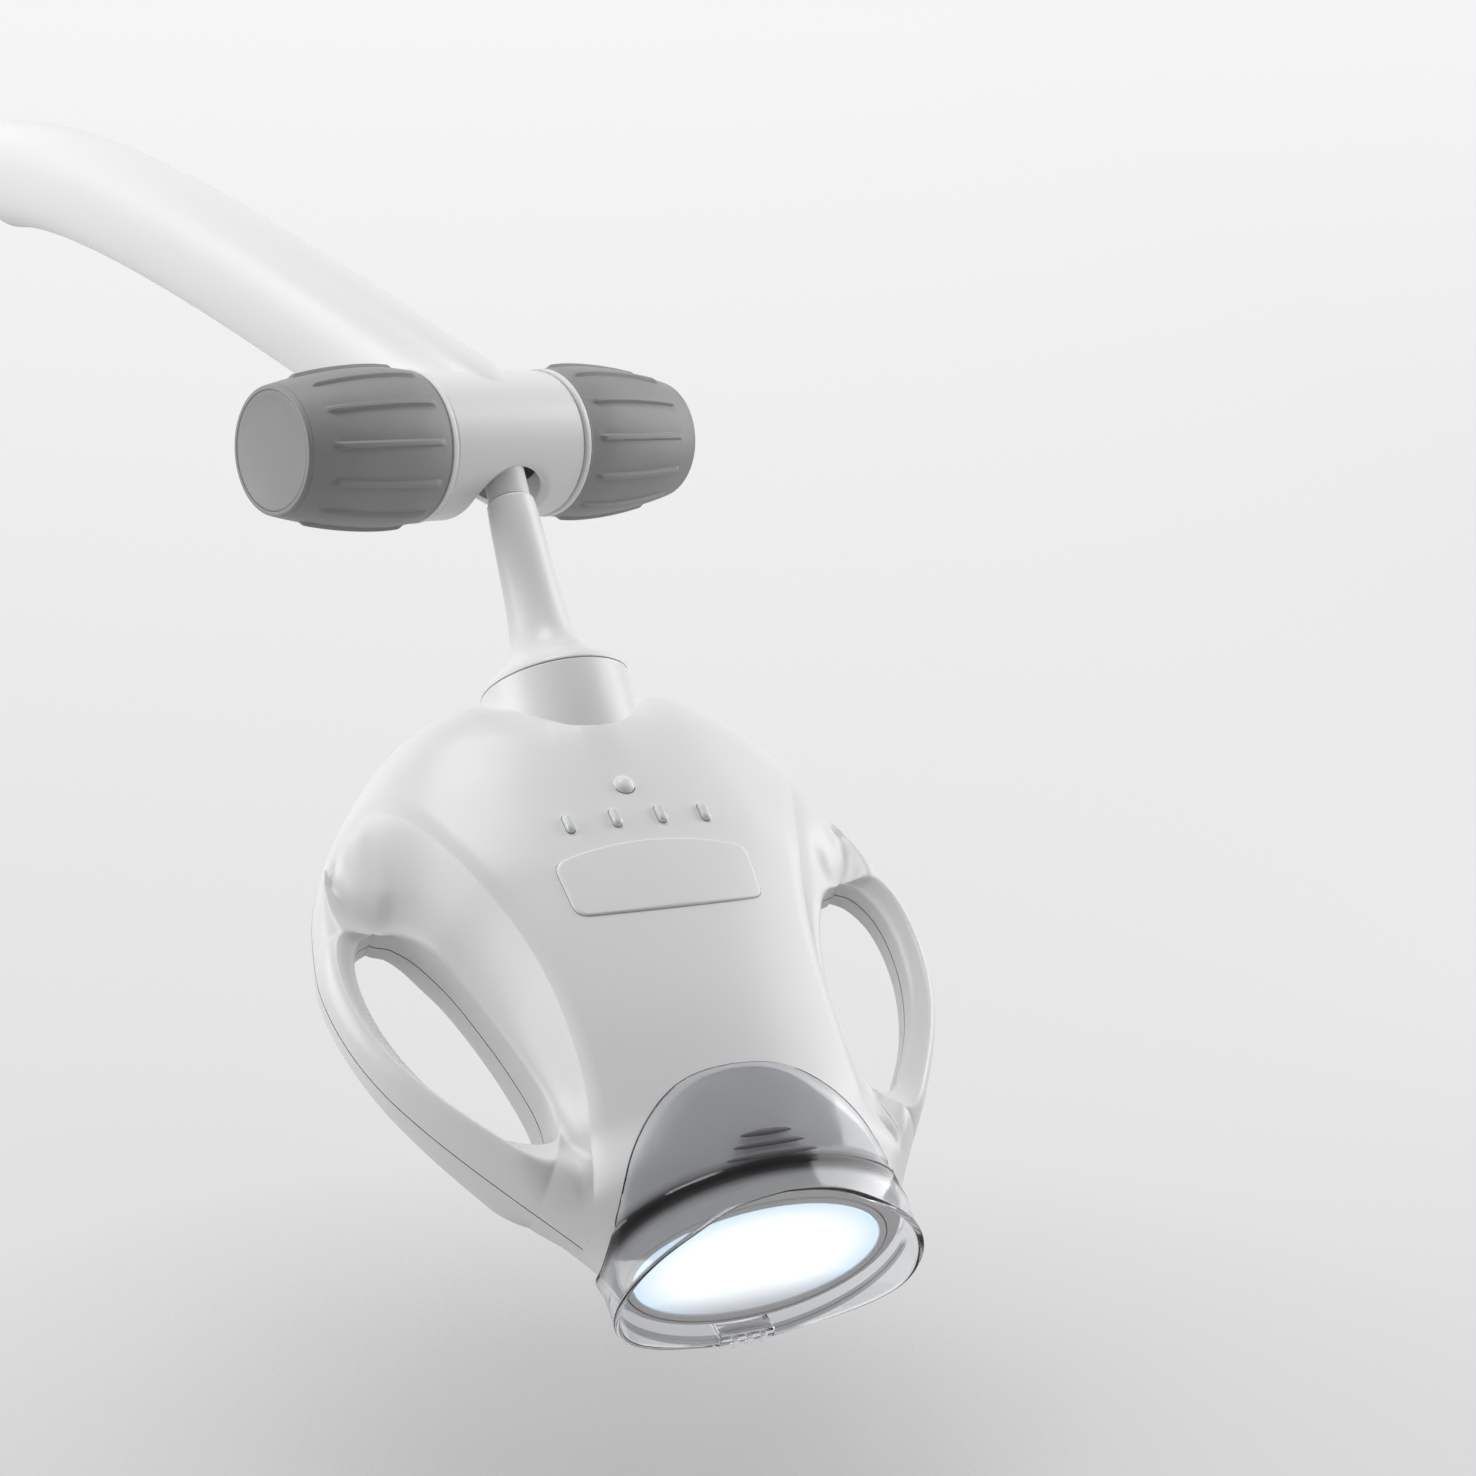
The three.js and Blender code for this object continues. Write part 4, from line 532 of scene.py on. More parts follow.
knobLook = {"start": 34.6, "length": 61.0, "startRadius": 29.0, "peak": 30.2, "peakAt": 0.24, "faceRadius": 22.6,
            "edge": 1.6, "fall": 1.9, "ribs": 12, "ribHeight": 1.5, "ribHalf": 1.2, "ribFrom": 3.6, "ribTo": 51.5,
            "ribFade": 3.0, "phase": -5.0, "around": 720, "rows": 96, "cap": 22.0,
            "valleyWidth": 2.4, "valley": 0.18, "bore": 12.4, "capGap": 0.12, "lipEdge": 1.2, "capWall": 0.6,
            "dish": 1.7, "backEdge": 1.0,
            # the end cap's radii, and how far each lies behind the knob's face
            "capPoints": [(0, 1.2), (6, 1.17), (12, 1.0), (17, 0.7), (20, 0.36), (21.2, 0.14), (21.9, 0.14),
                          (22.06, 0.3), (22.06, 1.2), (0, 1.25)]}


def knobGrid(look):
    # barrel curve r(s) with twelve raised ribs: rib height times a bell across and a soft window along
    s = np.linspace(0, 1, look["rows"])
    swell = look["peak"] - look["startRadius"]
    t = np.clip((s - look["peakAt"]) / (1 - look["peakAt"]), 0, 1)
    endRadius = look["faceRadius"] + look["edge"]
    r = np.where(s < look["peakAt"], look["startRadius"] + swell * np.sin(np.pi / 2 * s / look["peakAt"]),
                 look["peak"] - (look["peak"] - endRadius) * t ** look["fall"])
    x = s * (look["length"] - look["edge"])
    a = circle(look["around"])
    pitch = 2 * np.pi / look["ribs"]
    turnedBy = a - math.radians(look["phase"])
    across = ((turnedBy + pitch / 2) % pitch - pitch / 2)[None] * r[:, None]
    bell = np.exp(-((across / look["ribHalf"]) ** 6))
    low, high = look["ribFrom"], look["ribTo"]
    window = np.clip((x - low) / look["ribFade"], 0, 1) * np.clip((high - x) / look["ribFade"], 0, 1)
    valley = np.exp(-((across / (look["valleyWidth"] * look["ribHalf"])) ** 2)) * look["valley"]
    rad = r[:, None] + look["ribHeight"] * smooth(window)[:, None] * (bell - valley)
    return np.stack([x[:, None] + look["start"] + 0 * a, -rad * np.cos(a), -rad * np.sin(a)], -1), endRadius


knob, knobEnd = knobGrid(knobLook)
faceAt = knobLook["start"] + knobLook["length"]
k = knobLook
capRim = k["cap"] + k["capGap"]
lipProfile = rounded([(knobEnd, faceAt - k["edge"]), (k["faceRadius"] + k["lipEdge"], faceAt), (capRim, faceAt),
                      (capRim, faceAt - k["capWall"]), (k["bore"], faceAt - k["dish"])], [1.0, 0.5, 0.1], 6)
backProfile = rounded([(k["bore"], k["start"]), (k["startRadius"] - k["backEdge"], k["start"]),
                       (k["startRadius"], k["start"])], [0.1], 3)
capProfile = np.array(k["capPoints"]) * (1, -1) + (0, faceAt)
for side, word in ((-1, "left"), (1, "right")):
    patches = [(knob * (side, 1, 1), False, True, side < 0),
               (turned(lipProfile * (1, side), 240, "x"), False, True, side > 0),
               (turned(backProfile * (1, side), 240, "x"), False, True, side > 0)]
    meshObject(f"grip_{word}", patches, barFrame, f"{word}_knob", knobRubber, [f"knob_{word}"])
    cap = turned(capProfile * (1, side), 200, "x")
    meshObject(f"endCap_{word}", [(cap, False, True, side < 0)], barFrame, f"{word}_knob", capGrey,
               [f"knob_cap_{word}"], sharp=60)
print("stage: clamp bar made")

# Neck and collar

neckLook = {"start": 31.4, "length": 109.74, "collar": 28.1, "seam": 0.4,
            "bell": [(9.2, -32.6), (9.6, -39.0), (10.3, -56.0), (11.0, -73.0), (11.9, -84.0), (13.1, -91.0),
                     (15.4, -96.4), (18.6, -100.2), (22.4, -103.1), (25.6, -105.7), (27.5, -107.6), (28.1, -108.9)],
            "bore": [(9.4, -92.0), (5.6, -92.0), (5.6, -47.5), (6.6, -47.5)], "rim": (0.1, 9.4),
            "top": [(6.6, 0), (8.2, 0), (8.85, 0.3), (9.15, 0.9)],
            "sleeve": [(6.5, -14.5), (8.1, -14.5), (8.1, -31.0), (6.5, -31.0), (6.5, -14.5)],
            "cup": [(25.5, 0.0), (28.1, 0.0), (28.1, -40.0), (11.6, -40.0), (11.6, -36.0), (25.5, -36.0), (25.5, 0.0)]}


def neckProfile(look):
    # chamfered top at the sleeve, the outside as a smooth curve that opens into the bell, a small rim, and the bore
    top = np.array([(r, -look["start"] - down) for r, down in look["top"]])
    bell = spline(look["bell"], 110)
    end = -(look["length"] - look["seam"])
    drop, inner = look["rim"]
    rim = rounded([bell[-1], (look["collar"], bell[-1, 1] - drop), (look["collar"], end), (inner, end)], [0.3, 0.35], 5)
    return np.vstack([top, bell, rim[1:], look["bore"], top[:1]])


meshObject("neckSkin", turned(neckProfile(neckLook), 180), neckFrame, "neck", shellWhite,
           ["neck_tube"], sharp=40)
meshObject("neckSleeveSkin", turned(rounded(neckLook["sleeve"], [0.7, 0.25, 0.1], 6), 140), neckFrame, "neck",
           sleeveGrey, ["neck_sleeve"], sharp=50)
meshObject("collarSkin", turned(rounded(neckLook["cup"], [0.45, 0.2, 0.1, 0.1, 0.1]), 180), collarFrame, "head",
           shellWhite, ["collar_cup"], sharp=40)
print("stage: neck made")

# Head: every patch is laid out in plan (x across, z down) and lifted from the parting plane by a depth

headLook = {"halfWidth": 115.6, "length": 240.0, "parting": 30.0, "front": 45.0, "rear": 37.0, "handle": 11.5,
            "tip": 8.64, "seam": 0.2, "noseLine": 218.0, "blendFrom": 188.0, "blendTo": 211.0, "crease": 8.0,
            "openingEdge": 1.8, "hollow": 1.9, "crownColumns": 90, "scoopColumns": 44, "handleColumns": 44,
            "round": 2.2, "flat": 0.45, "slant": 0.62, "lip": 6.4, "fuller": 0.6, "fullerTo": 34.0,
            "footStart": 0.19, "tipShares": (0.36, 0.60, 0.74), "bodyFrom": 42.0, "bodyOver": 12.0,
            "shoulder": 13.0, "soft": 0.34, "softRows": 1.5, "pocket": 0.11, "pocketWall": 15.0, "pocketMost": 0.8,
            "rowBias": 1.7, "columnBias": 1.25, "lipRows": 10.0, "endLipRows": 34.0, "edgeRows": 12.0,
            "collarNear": 1.0, "collarDown": -45.0, "collarStep": 9}
outlineTable = [
    (0.0, 0.36), (0.03, 0.50), (0.07, 0.618), (0.125, 0.726), (0.19, 0.826), (0.25, 0.896), (0.3125, 0.95),
    (0.375, 0.982), (0.4375, 1.0), (0.5, 0.991), (0.5625, 0.962), (0.625, 0.912), (0.6875, 0.84), (0.75, 0.755),
    (0.8125, 0.662), (0.875, 0.566), (0.92, 0.50), (0.96, 0.462), (1.0, 0.45), (1.06, 0.446)]
# the body follows the outline down to where the scoop begins
bodyTable = outlineTable[:7] + [
    (0.375, 0.957), (0.4375, 0.885), (0.5, 0.82), (0.5625, 0.755), (0.625, 0.69), (0.6875, 0.632), (0.75, 0.582),
    (0.8125, 0.532), (0.875, 0.495), (0.92, 0.475), (0.96, 0.458), (1.0, 0.45), (1.06, 0.446)]
frontTable = [
    (0.0, 0.74), (0.03, 0.83), (0.07, 0.92), (0.125, 0.995), (0.2, 1.015), (0.3, 1.005), (0.42, 0.985), (0.54, 0.945),
    (0.65, 0.895), (0.75, 0.82), (0.85, 0.735), (0.93, 0.665), (1.0, 0.63), (1.06, 0.61)]
rearTable = [
    (0.0, 0.60), (0.03, 0.74), (0.07, 0.86), (0.125, 0.94), (0.2, 0.985), (0.3, 1.0), (0.42, 0.995), (0.54, 0.96),
    (0.65, 0.915), (0.75, 0.86), (0.85, 0.80), (0.93, 0.755), (1.0, 0.73), (1.06, 0.71)]
handleTable = [
    (0.14, 0.80), (0.25, 0.90), (0.36, 0.96), (0.46, 0.92), (0.56, 0.96), (0.65, 1.14), (0.73, 1.36), (0.80, 1.56),
    (0.87, 1.72), (0.94, 1.80)]
# crease of the scoop on the crown, and its foot beside the finger opening, point for point
creasePoints = [
    (96.8, -47.6), (92.9, -45.9), (88.4, -45.6), (83.2, -48.3), (77.0, -57.5), (71.0, -70.0), (63.5, -90.0),
    (56.7, -110.0), (52.1, -130.0), (50.0, -150.0), (49.8, -170.0), (51.2, -185.0), (53.6, -197.0), (56.6, -207.0),
    (57.6, -218.0)]
footPoints = [
    (100.5, -54.0), (101.8, -66.0), (99.2, -78.0), (92.8, -87.2), (86.4, -90.0), (80.6, -95.6), (76.0, -103.2),
    (71.0, -114.0), (65.6, -131.0), (61.0, -149.0), (58.1, -168.0), (59.3, -184.0), (58.4, -196.0), (59.4, -206.0),
    (58.6, -218.0)]
footDepths = [0.0, 0.19, 0.24, 0.255, 0.26, 0.26, 0.26, 0.26, 0.26, 0.275, 0.295, 0.33, 0.355, 0.37, 0.38]
openingPoints = [
    (92.8, -87.2), (98.2, -90.2), (102.5, -98.4), (104.0, -110.0), (102.5, -125.0), (98.4, -140.0), (91.6, -155.0),
    (82.9, -168.0), (74.2, -178.8), (66.7, -184.6), (62.4, -185.4), (59.3, -184.0)]
outerDowns = {"start": (54.0, 66.5, 78.5, 88.6),
              "opening": (88.6, 93.5, 100.5, 111.0, 126.5, 142.5, 159.0, 174.0, 187.0, 196.0, 200.0, 203.0),
              "end": (203.0, 209.0, 214.0, 218.0)}
outlineOf, bodyOf = smoothTable(outlineTable), smoothTable(bodyTable)
frontOf, rearOf, handleOf = smoothTable(frontTable), smoothTable(rearTable), smoothTable(handleTable)
h = headLook


def tipped(table, first, z):
    # table value below z = 0, and a square root curve that closes the crown at its tip above it
    down = -np.asarray(z, float) / h["length"]
    tip = h["tip"] / h["length"]
    return np.where(down < 0, first * np.sqrt(np.clip((down + tip) / tip, 0, 1)), table(np.maximum(down, 0)))


def outlineAt(z):
    return h["halfWidth"] * tipped(outlineOf, h["tipShares"][0], z)


def bodyAt(z):
    # the outline itself above the scoop, and never wider than it below
    body = np.minimum(h["halfWidth"] * tipped(bodyOf, h["tipShares"][0], z), outlineAt(z))
    return outlineAt(z) + (body - outlineAt(z)) * smooth((-z - h["bodyFrom"]) / h["bodyOver"])


def crownDepth(rearwards, z):
    if rearwards:
        return h["rear"] * tipped(rearOf, h["tipShares"][1], z)
    return h["front"] * tipped(frontOf, h["tipShares"][2], z)


def crownAt(rearwards, x, z):
    # across the body, D (1 - (x / B)^n)^(1/n), with n = 2 below and fuller shoulders beside the collar
    n = 2 + (0.0 if rearwards else h["fuller"]) * np.exp(-((np.minimum(z, 0) / h["fullerTo"]) ** 2))
    side = np.abs(x) / np.maximum(bodyAt(z), 1e-6)
    return crownDepth(rearwards, z) * np.clip(1 - np.clip(side, 0, 1) ** n, 0, 1) ** (1 / n)


def noseBlend(rearwards, x, z, depth):
    # towards the nose line the depth turns into one plain ellipse over the whole outline
    whole = crownDepth(rearwards, z) * np.sqrt(np.clip(1 - (x / np.maximum(outlineAt(z), 1e-6)) ** 2, 0, 1))
    w = smooth((-z - h["blendFrom"]) / (h["blendTo"] - h["blendFrom"]))
    return depth + (whole - depth) * w


def edgeDrop(distance, radius):  # fall of a rounded edge at a distance from it
    e = np.clip(1 - distance / radius, 0, 1)
    return radius * (1 - np.sqrt(np.clip(1 - e * e, 0, 1)))


def softDrop(distance, radius):  # fall of a blunt crease: a parabola that meets the face at its radius
    return h["soft"] * np.clip(radius - distance, 0, None) ** 2 / (2 * radius)


def alongTable(points, place):
    # smooth curve through table rows, the row number being the parameter
    points = np.asarray(points, float)
    return np.stack([inOrder(points[:, d])(place) for d in range(2)], -1)


for points in (creasePoints, footPoints):  # both start on the outline
    points[0] = (float(outlineAt(points[0][1])), points[0][1])
# rows of the patches as places in these tables: the finger opening lies between the fourth and the twelfth point
openAt, endAt, lastAt = 3, 11, 14
startRows = np.linspace(0, 1, 26) ** 1.5 * openAt
openRows = np.linspace(openAt, endAt, 104)[1:]
endRows = np.linspace(endAt, lastAt, 30)[1:]
scoopRows = np.concatenate([startRows, openRows, endRows])
crease = alongTable(creasePoints, scoopRows)
foot = alongTable(footPoints, scoopRows)
openingEdge = spline(openingPoints, 150)
openWeight = smooth((scoopRows - openAt) / 2.0) * (1 - smooth((scoopRows - endAt + 0.7) / 0.7))


def lifted(x, z, depth, rearwards):  # from the plan to a point on the front or the rear of the parting plane
    depth = np.maximum(depth, h["seam"])
    return np.stack([x, h["parting"] + (depth if rearwards else -depth), z], -1)


headSlope = math.radians(places["slope"])
collarAxis = np.array([0.0, -math.sin(headSlope), math.cos(headSlope)])
collarFront = np.array([0.0, -collarAxis[2], collarAxis[1]])
# height of the joint on the collar, by the angle from its front
jointOf = smoothTable([(0, -27.0), (20, -25.6), (36, -21.8), (52, -16.6), (64, -12.4), (78, -8.4), (92, -4.2),
                       (106, -1.5), (125, -0.9), (150, -0.9), (180, -0.9)])


def atCollar(points):  # height along the collar's axis, distance from it, and angle from its front
    height = points @ collarAxis
    out = points - height[..., None] * collarAxis
    r = np.linalg.norm(out, axis=-1)
    return height, r, np.degrees(np.arccos(np.clip(out @ collarFront / np.maximum(r, 1e-6), -1, 1)))


def edgeAtCollar(points):  # mean height of the shell where it meets the collar, by angle
    height, r, around = atCollar(points)
    close = (np.abs(r - neckLook["collar"]) < h["collarNear"]) & (height > h["collarDown"])
    which = np.digitize(around[close], np.arange(0, 181, h["collarStep"]))
    return np.array([(around[close][which == k].mean(), height[close][which == k].mean()) for k in np.unique(which)])


def besideCollar(points):
    # close to the collar the shell is drawn along its axis, by the gap between its own edge and the joint there,
    # with the weight exp(-(distance / width)^2)
    height, r, around = atCollar(points)
    own = np.interp(around, *shellEdge.T)
    weight = np.exp(-((np.hypot(r - neckLook["collar"], height - own) / h["shoulder"]) ** 2))
    return points + ((jointOf(around) - own) * weight)[..., None] * collarAxis


def crownGrid(rearwards):
    # plan between the outline's top arc, the middle line, the crease and the nose line
    # as a Coons patch: both ruled surfaces less the one through the corners
    v = 1 - (1 - np.linspace(0, 1, h["crownColumns"])) ** h["columnBias"]
    zTop = h["tip"] + (creasePoints[0][1] - h["tip"]) * np.linspace(0, 1, h["crownColumns"]) ** h["rowBias"]
    top = np.stack([outlineAt(zTop), zTop], -1)
    rows = len(scoopRows)
    zMiddle = h["tip"] + (-h["noseLine"] - h["tip"]) * np.linspace(0, 1, rows) ** h["rowBias"]
    left = np.stack([np.zeros(rows), zMiddle], -1)
    bottom = np.stack([crease[-1, 0] * v, np.full(len(v), -h["noseLine"])], -1)
    t, w = np.linspace(0, 1, rows)[:, None, None], v[None, :, None]
    ruled = left[:, None] * (1 - w) + crease[:, None] * w
    cross = top[None] * (1 - t) + bottom[None] * t
    corner = (1 - t) * (top[0] * (1 - w) + top[-1] * w) + t * (bottom[0] * (1 - w) + bottom[-1] * w)
    plan = ruled + cross - corner
    x, z = plan[..., 0], plan[..., 1]
    near = np.linalg.norm(plan - crease[:, None], axis=-1)
    depth = crownAt(rearwards, x, z) - softDrop(near, h["crease"]) * smooth(scoopRows / h["softRows"])[:, None]
    return lifted(x, z, noseBlend(rearwards, x, z, depth), rearwards)


shellEdge = edgeAtCollar(np.concatenate([crownGrid(rearwards).reshape(-1, 3) for rearwards in (False, True)]))
print("stage: shell edge at the collar measured")


def footDepthAt(rearwards, place):
    shares = inOrder(footDepths)(place)
    first = h["footStart"] * (1 - (1 - np.clip(place, 0, 1)) ** 2.5) ** 0.4
    return (h["rear"] if rearwards else h["front"]) * np.where(place < 1, first, shares)


def pocketAt(rearwards, place):  # how far the foot drops into the pocket above the finger opening
    drop = smooth(place / openAt) * (1 - smooth((place - openAt) / openAt))
    return (h["rear"] if rearwards else h["front"]) * h["pocket"] * drop


def scoopGrid(rearwards):
    # depth dG + (dK - dG)(1 - t)^hollow from the crease K to the foot G, less the pocket above the opening
    t = np.linspace(0, 1, h["scoopColumns"])
    t = (0.5 - 0.5 * np.cos(np.pi * t))[None]
    plan = crease[:, None] + (foot - crease)[:, None] * t[..., None]
    top = crownAt(rearwards, crease[:, 0], crease[:, 1])[:, None]
    low = footDepthAt(rearwards, scoopRows)[:, None]
    length = np.linalg.norm(foot - crease, axis=1)[:, None]
    depth = low + (top - low) * (1 - t) ** h["hollow"]
    depth = depth - softDrop(t * length, h["crease"]) * smooth(scoopRows / h["softRows"])[:, None]
    wall = smooth(1 - (1 - t) * length / np.minimum(h["pocketWall"], h["pocketMost"] * length))
    depth = depth - pocketAt(rearwards, scoopRows)[:, None] * wall
    depth = depth - edgeDrop((1 - t) * length, h["openingEdge"]) * openWeight[:, None]
    x, z = plan[..., 0], plan[..., 1]
    return lifted(x, z, noseBlend(rearwards, x, z, depth), rearwards)


def handleGrid(rearwards):
    # rounded bar between the opening (or the foot of the scoop) and the outline
    inner = np.vstack([foot[:len(startRows)], openingEdge[1:], foot[len(startRows) + len(openRows):]])
    downs = [inOrder(outerDowns["start"])(startRows)]
    for part, count in (("opening", len(openingEdge)), ("end", len(endRows) + 1)):
        table = outerDowns[part]
        downs.append(inOrder(table)(np.linspace(0, len(table) - 1, count))[1:])
    downs = np.concatenate(downs)
    outer = np.stack([outlineAt(-downs), -downs], -1)
    n = h["handleColumns"]
    v = np.sin(np.linspace(0, 1, n) * np.pi / 2)
    v = np.concatenate([[0, 0.006, 0.02, 0.045, 0.08, 0.12], 0.12 + 0.88 * v[1:]])[None]
    plan = inner[:, None] + (outer - inner)[:, None] * v[..., None]
    x, z = plan[..., 0], plan[..., 1]
    full = h["handle"] * handleOf(-z / h["length"])
    nA, nB = len(startRows), len(openingEdge) - 1
    rowsStart = footDepthAt(rearwards, startRows) - pocketAt(rearwards, startRows)
    rowsEnd = footDepthAt(rearwards, endRows)
    step = np.arange(nB) + 1
    lip = rowsStart[-1] + (h["lip"] - rowsStart[-1]) * smooth(step / h["lipRows"])
    lip = lip + (rowsEnd[0] - lip) * smooth((step - nB + h["endLipRows"]) / h["endLipRows"])
    low = np.concatenate([rowsStart, lip, rowsEnd])[:, None]
    crest = np.concatenate([smooth(startRows / openAt), np.ones(nB + len(rowsEnd))])[:, None]
    full = low + (full - low) * crest
    u = np.clip((v - h["flat"]) / (1 - h["flat"]), 0, 1)
    depth = (low + (full - low) * smooth(v / h["slant"])) * (1 - u ** h["round"]) ** (1 / h["round"])
    width = np.linalg.norm(outer - inner, axis=1)[:, None]
    rounding = smooth(step / h["edgeRows"]) * (1 - smooth((step - nB + h["edgeRows"]) / h["edgeRows"]))
    weight = np.concatenate([np.zeros(nA), rounding, np.zeros(len(rowsEnd))])[:, None]
    depth = depth - edgeDrop(v * width, 0.5 * h["openingEdge"]) * weight
    return lifted(x, z, noseBlend(rearwards, x, z, depth), rearwards)


def noseRing(z, a, rearwards):  # ellipse over the whole outline at each z
    wide, depth = np.maximum(bodyAt(z), outlineAt(z)), crownDepth(rearwards, z)
    return np.stack([wide * np.cos(a), h["parting"] + depth * np.sin(a), z + 0 * a], -1)


noseSlope = math.radians(places["noseSlope"])
noseLook = {"lip": ((0.35, 0.1), (0.12, 0.32), (0.0, 0.7)), "start": 0.7, "bezel": (48.9, 24.9), "inside": 3.0}


def planeZ(y, height):  # z where the nose frame's height is the given one
    return -places["noseEnd"] + (height - math.sin(noseSlope) * (y - places["noseBack"])) / math.cos(noseSlope)


def noseGrid(rearwards):
    # plain ellipse rings from the nose line down to the slanted end, then in to the bezel
    a = np.linspace(0, np.pi, 150) if rearwards else np.linspace(-np.pi, 0, 150)
    start = np.full(len(a), -h["noseLine"])
    end = np.full(len(a), -places["noseEnd"])
    for _ in range(8):
        end = planeZ(noseRing(end, a, rearwards)[:, 1], 0.0)
    rows = [noseRing(start + (end + noseLook["start"] - start) * t, a, rearwards) for t in np.linspace(0, 1, 14)]
    edge = noseRing(end, a, rearwards)
    middle = np.array([0, places["noseBack"], -places["noseEnd"]])
    inward = (middle - edge) / np.linalg.norm(middle - edge, axis=1)[:, None]
    rows += [edge + inward * inset + (0, 0, drop) for drop, inset in noseLook["lip"]]
    bezel = np.stack([noseLook["bezel"][0] * np.cos(a), noseLook["bezel"][1] * np.sin(a), 0 * a], -1)
    local = np.linalg.inv(headFrame) @ noseFrame
    return np.array(rows + [(bezel + (0, 0, up)) @ local[:3, :3].T + local[:3, 3] for up in (0, noseLook["inside"])])


def wallGrid(scoop, handle):
    # opening wall: from the patch edges straight to the parting plane
    nA, nB, nE = len(startRows), len(openRows), len(openingEdge)
    one = scoop[nA - 1:nA + nB, -1]
    two = handle[nA - 1:nA - 1 + nE, 0]
    loop = np.vstack([one, two[::-1][1:-1]])
    low = loop.copy()
    low[:, 1] = h["parting"] + np.sign(loop[:, 1] - h["parting"]) * h["seam"]
    return np.array([loop + (low - loop) * t for t in np.linspace(0, 1, 5)])


for rearwards, node, word in ((False, "front_shell", "front"), (True, "rear_shell", "rear")):
    crownPatch, scoopPatch = besideCollar(crownGrid(rearwards)), scoopGrid(rearwards)
    handlePatch = handleGrid(rearwards)
    wallPatch = wallGrid(scoopPatch, handlePatch)
    patches = []
    for side in (1, -1):
        flip = (side > 0) == rearwards
        scale = np.array([side, 1, 1])
        patches += [(crownPatch * scale, False, False, not flip), (scoopPatch * scale, False, False, not flip),
                    (handlePatch * scale, False, False, not flip), (wallPatch * scale, False, True, flip)]
    patches.append((noseGrid(rearwards), False, False, rearwards))
    meshObject(f"{word}ShellSkin", patches, headFrame, "head", shellWhite, [node], weld=0.03, sharp=42)
print("stage: head shells made")

# Painted shadow of the parting seam: a dark strip just under the surface round the outline and round each opening
zSeam = h["tip"] + (-h["noseLine"] - 12 - h["tip"]) * np.linspace(0, 1, 200) ** 1.6
outlineLoop = np.stack([outlineAt(zSeam), zSeam], -1)
outlineLoop = np.vstack([outlineLoop[::-1] * (-1, 1), outlineLoop[1:]])


# painted shadow: these dark strips and patches stand in for the shade in seams, gaps and recesses
def dark(name, grid, reverse=False, closed=True):  # shadow line or recess on the head
    meshObject(name, [(grid, False, closed, reverse)], headFrame, "head", seamDark)


def seamStrip(name, loop, inset, closed):
    ahead = np.roll(loop, -1, axis=0) - np.roll(loop, 1, axis=0)
    if not closed:
        ahead[0], ahead[-1] = loop[1] - loop[0], loop[-1] - loop[-2]
    side = np.stack([ahead[:, 1], -ahead[:, 0]], -1)
    side /= np.linalg.norm(side, axis=1)[:, None]
    inner = loop + side * inset
    rows = [np.stack([inner[:, 0], np.full(len(inner), h["parting"] + y), inner[:, 1]], -1) for y in (-0.35, 0.35)]
    dark(name, besideCollar(np.array(rows)), closed=closed)


seamStrip("partingSeam", outlineLoop, 0.45, False)
nA, nB = len(startRows), len(openRows)
openingLoop = np.vstack([foot[nA - 1:nA + nB], openingEdge[::-1][1:-1]])
for side, word in ((1, "right"), (-1, "left")):
    seamStrip(f"openingSeam_{word}", openingLoop * (side, 1), 0.4 * side, True)
print("stage: seams made")

# Front controls: shapes laid on the crown, each lifted by its own rise


def onCrown(outline, levels, rearwards=False):
    # rings of an outline shrunk about its middle: levels are (share of the way out, rise above the crown)
    outline = np.asarray(outline, float)
    middle = (outline.max(0) + outline.min(0)) / 2
    rows = []
    for share, grow, rise in levels:
        ring = middle + (outline - middle) * share
        reach = np.linalg.norm(outline - middle, axis=1)[:, None]
        ring = ring + (outline - middle) / reach * grow
        depth = crownAt(rearwards, ring[:, 0], ring[:, 1]) + rise
        rows.append(np.stack([ring[:, 0], h["parting"] + (depth if rearwards else -depth), ring[:, 1]], -1))
    return np.array(rows)


def stadium(x, z, halfWidth, halfLength, count=72, upright=True):
    a = circle(count)
    along = np.sign(np.sin(a)) * (halfLength - halfWidth) + halfWidth * np.sin(a)
    across = halfWidth * np.cos(a)
    return np.stack([x + across, z + along] if upright else [x + along, z + across], -1)


badgeLook = {"half": 37.4, "top": 93.5, "bottom": 115.5, "crown": 5.0, "foot": 2.5, "lean": 1.5, "rise": 0.75,
             "corner": 4.5, "level": 0.94, "bead": [(1, -1.1, 0), (1, -0.55, -0.04), (1, -0.2, -0.2), (1, 0, -0.5)],
             "sunk": (1, 0.05, -0.5), "gap": [(1, 0.06, 0.02), (1, 0.2, 0.02)]}
bl = badgeLook
share = np.linspace(-1, 1, 41)
topLine = np.stack([bl["half"] * share, -bl["top"] + bl["crown"] * (1 - share**2)], -1)
footLine = np.stack([(bl["half"] - bl["lean"]) * share[::-1], -bl["bottom"] - bl["foot"] * (1 - share**2)], -1)


def roundedLoop(parts, radius):
    # closed outline made of smooth sides, with each corner replaced by a quadratic arc
    out = []
    for k, part in enumerate(parts):
        following = parts[(k + 1) % len(parts)]
        side = alongLine(part, np.linspace(radius, runOf(part)[-1] - radius, 40))
        into = alongLine(following, radius)
        t = np.linspace(0, 1, 9)[1:-1, None]
        out += [side, (1 - t) ** 2 * side[-1] + 2 * t * (1 - t) * part[-1] + t**2 * into]
    return np.vstack(out)


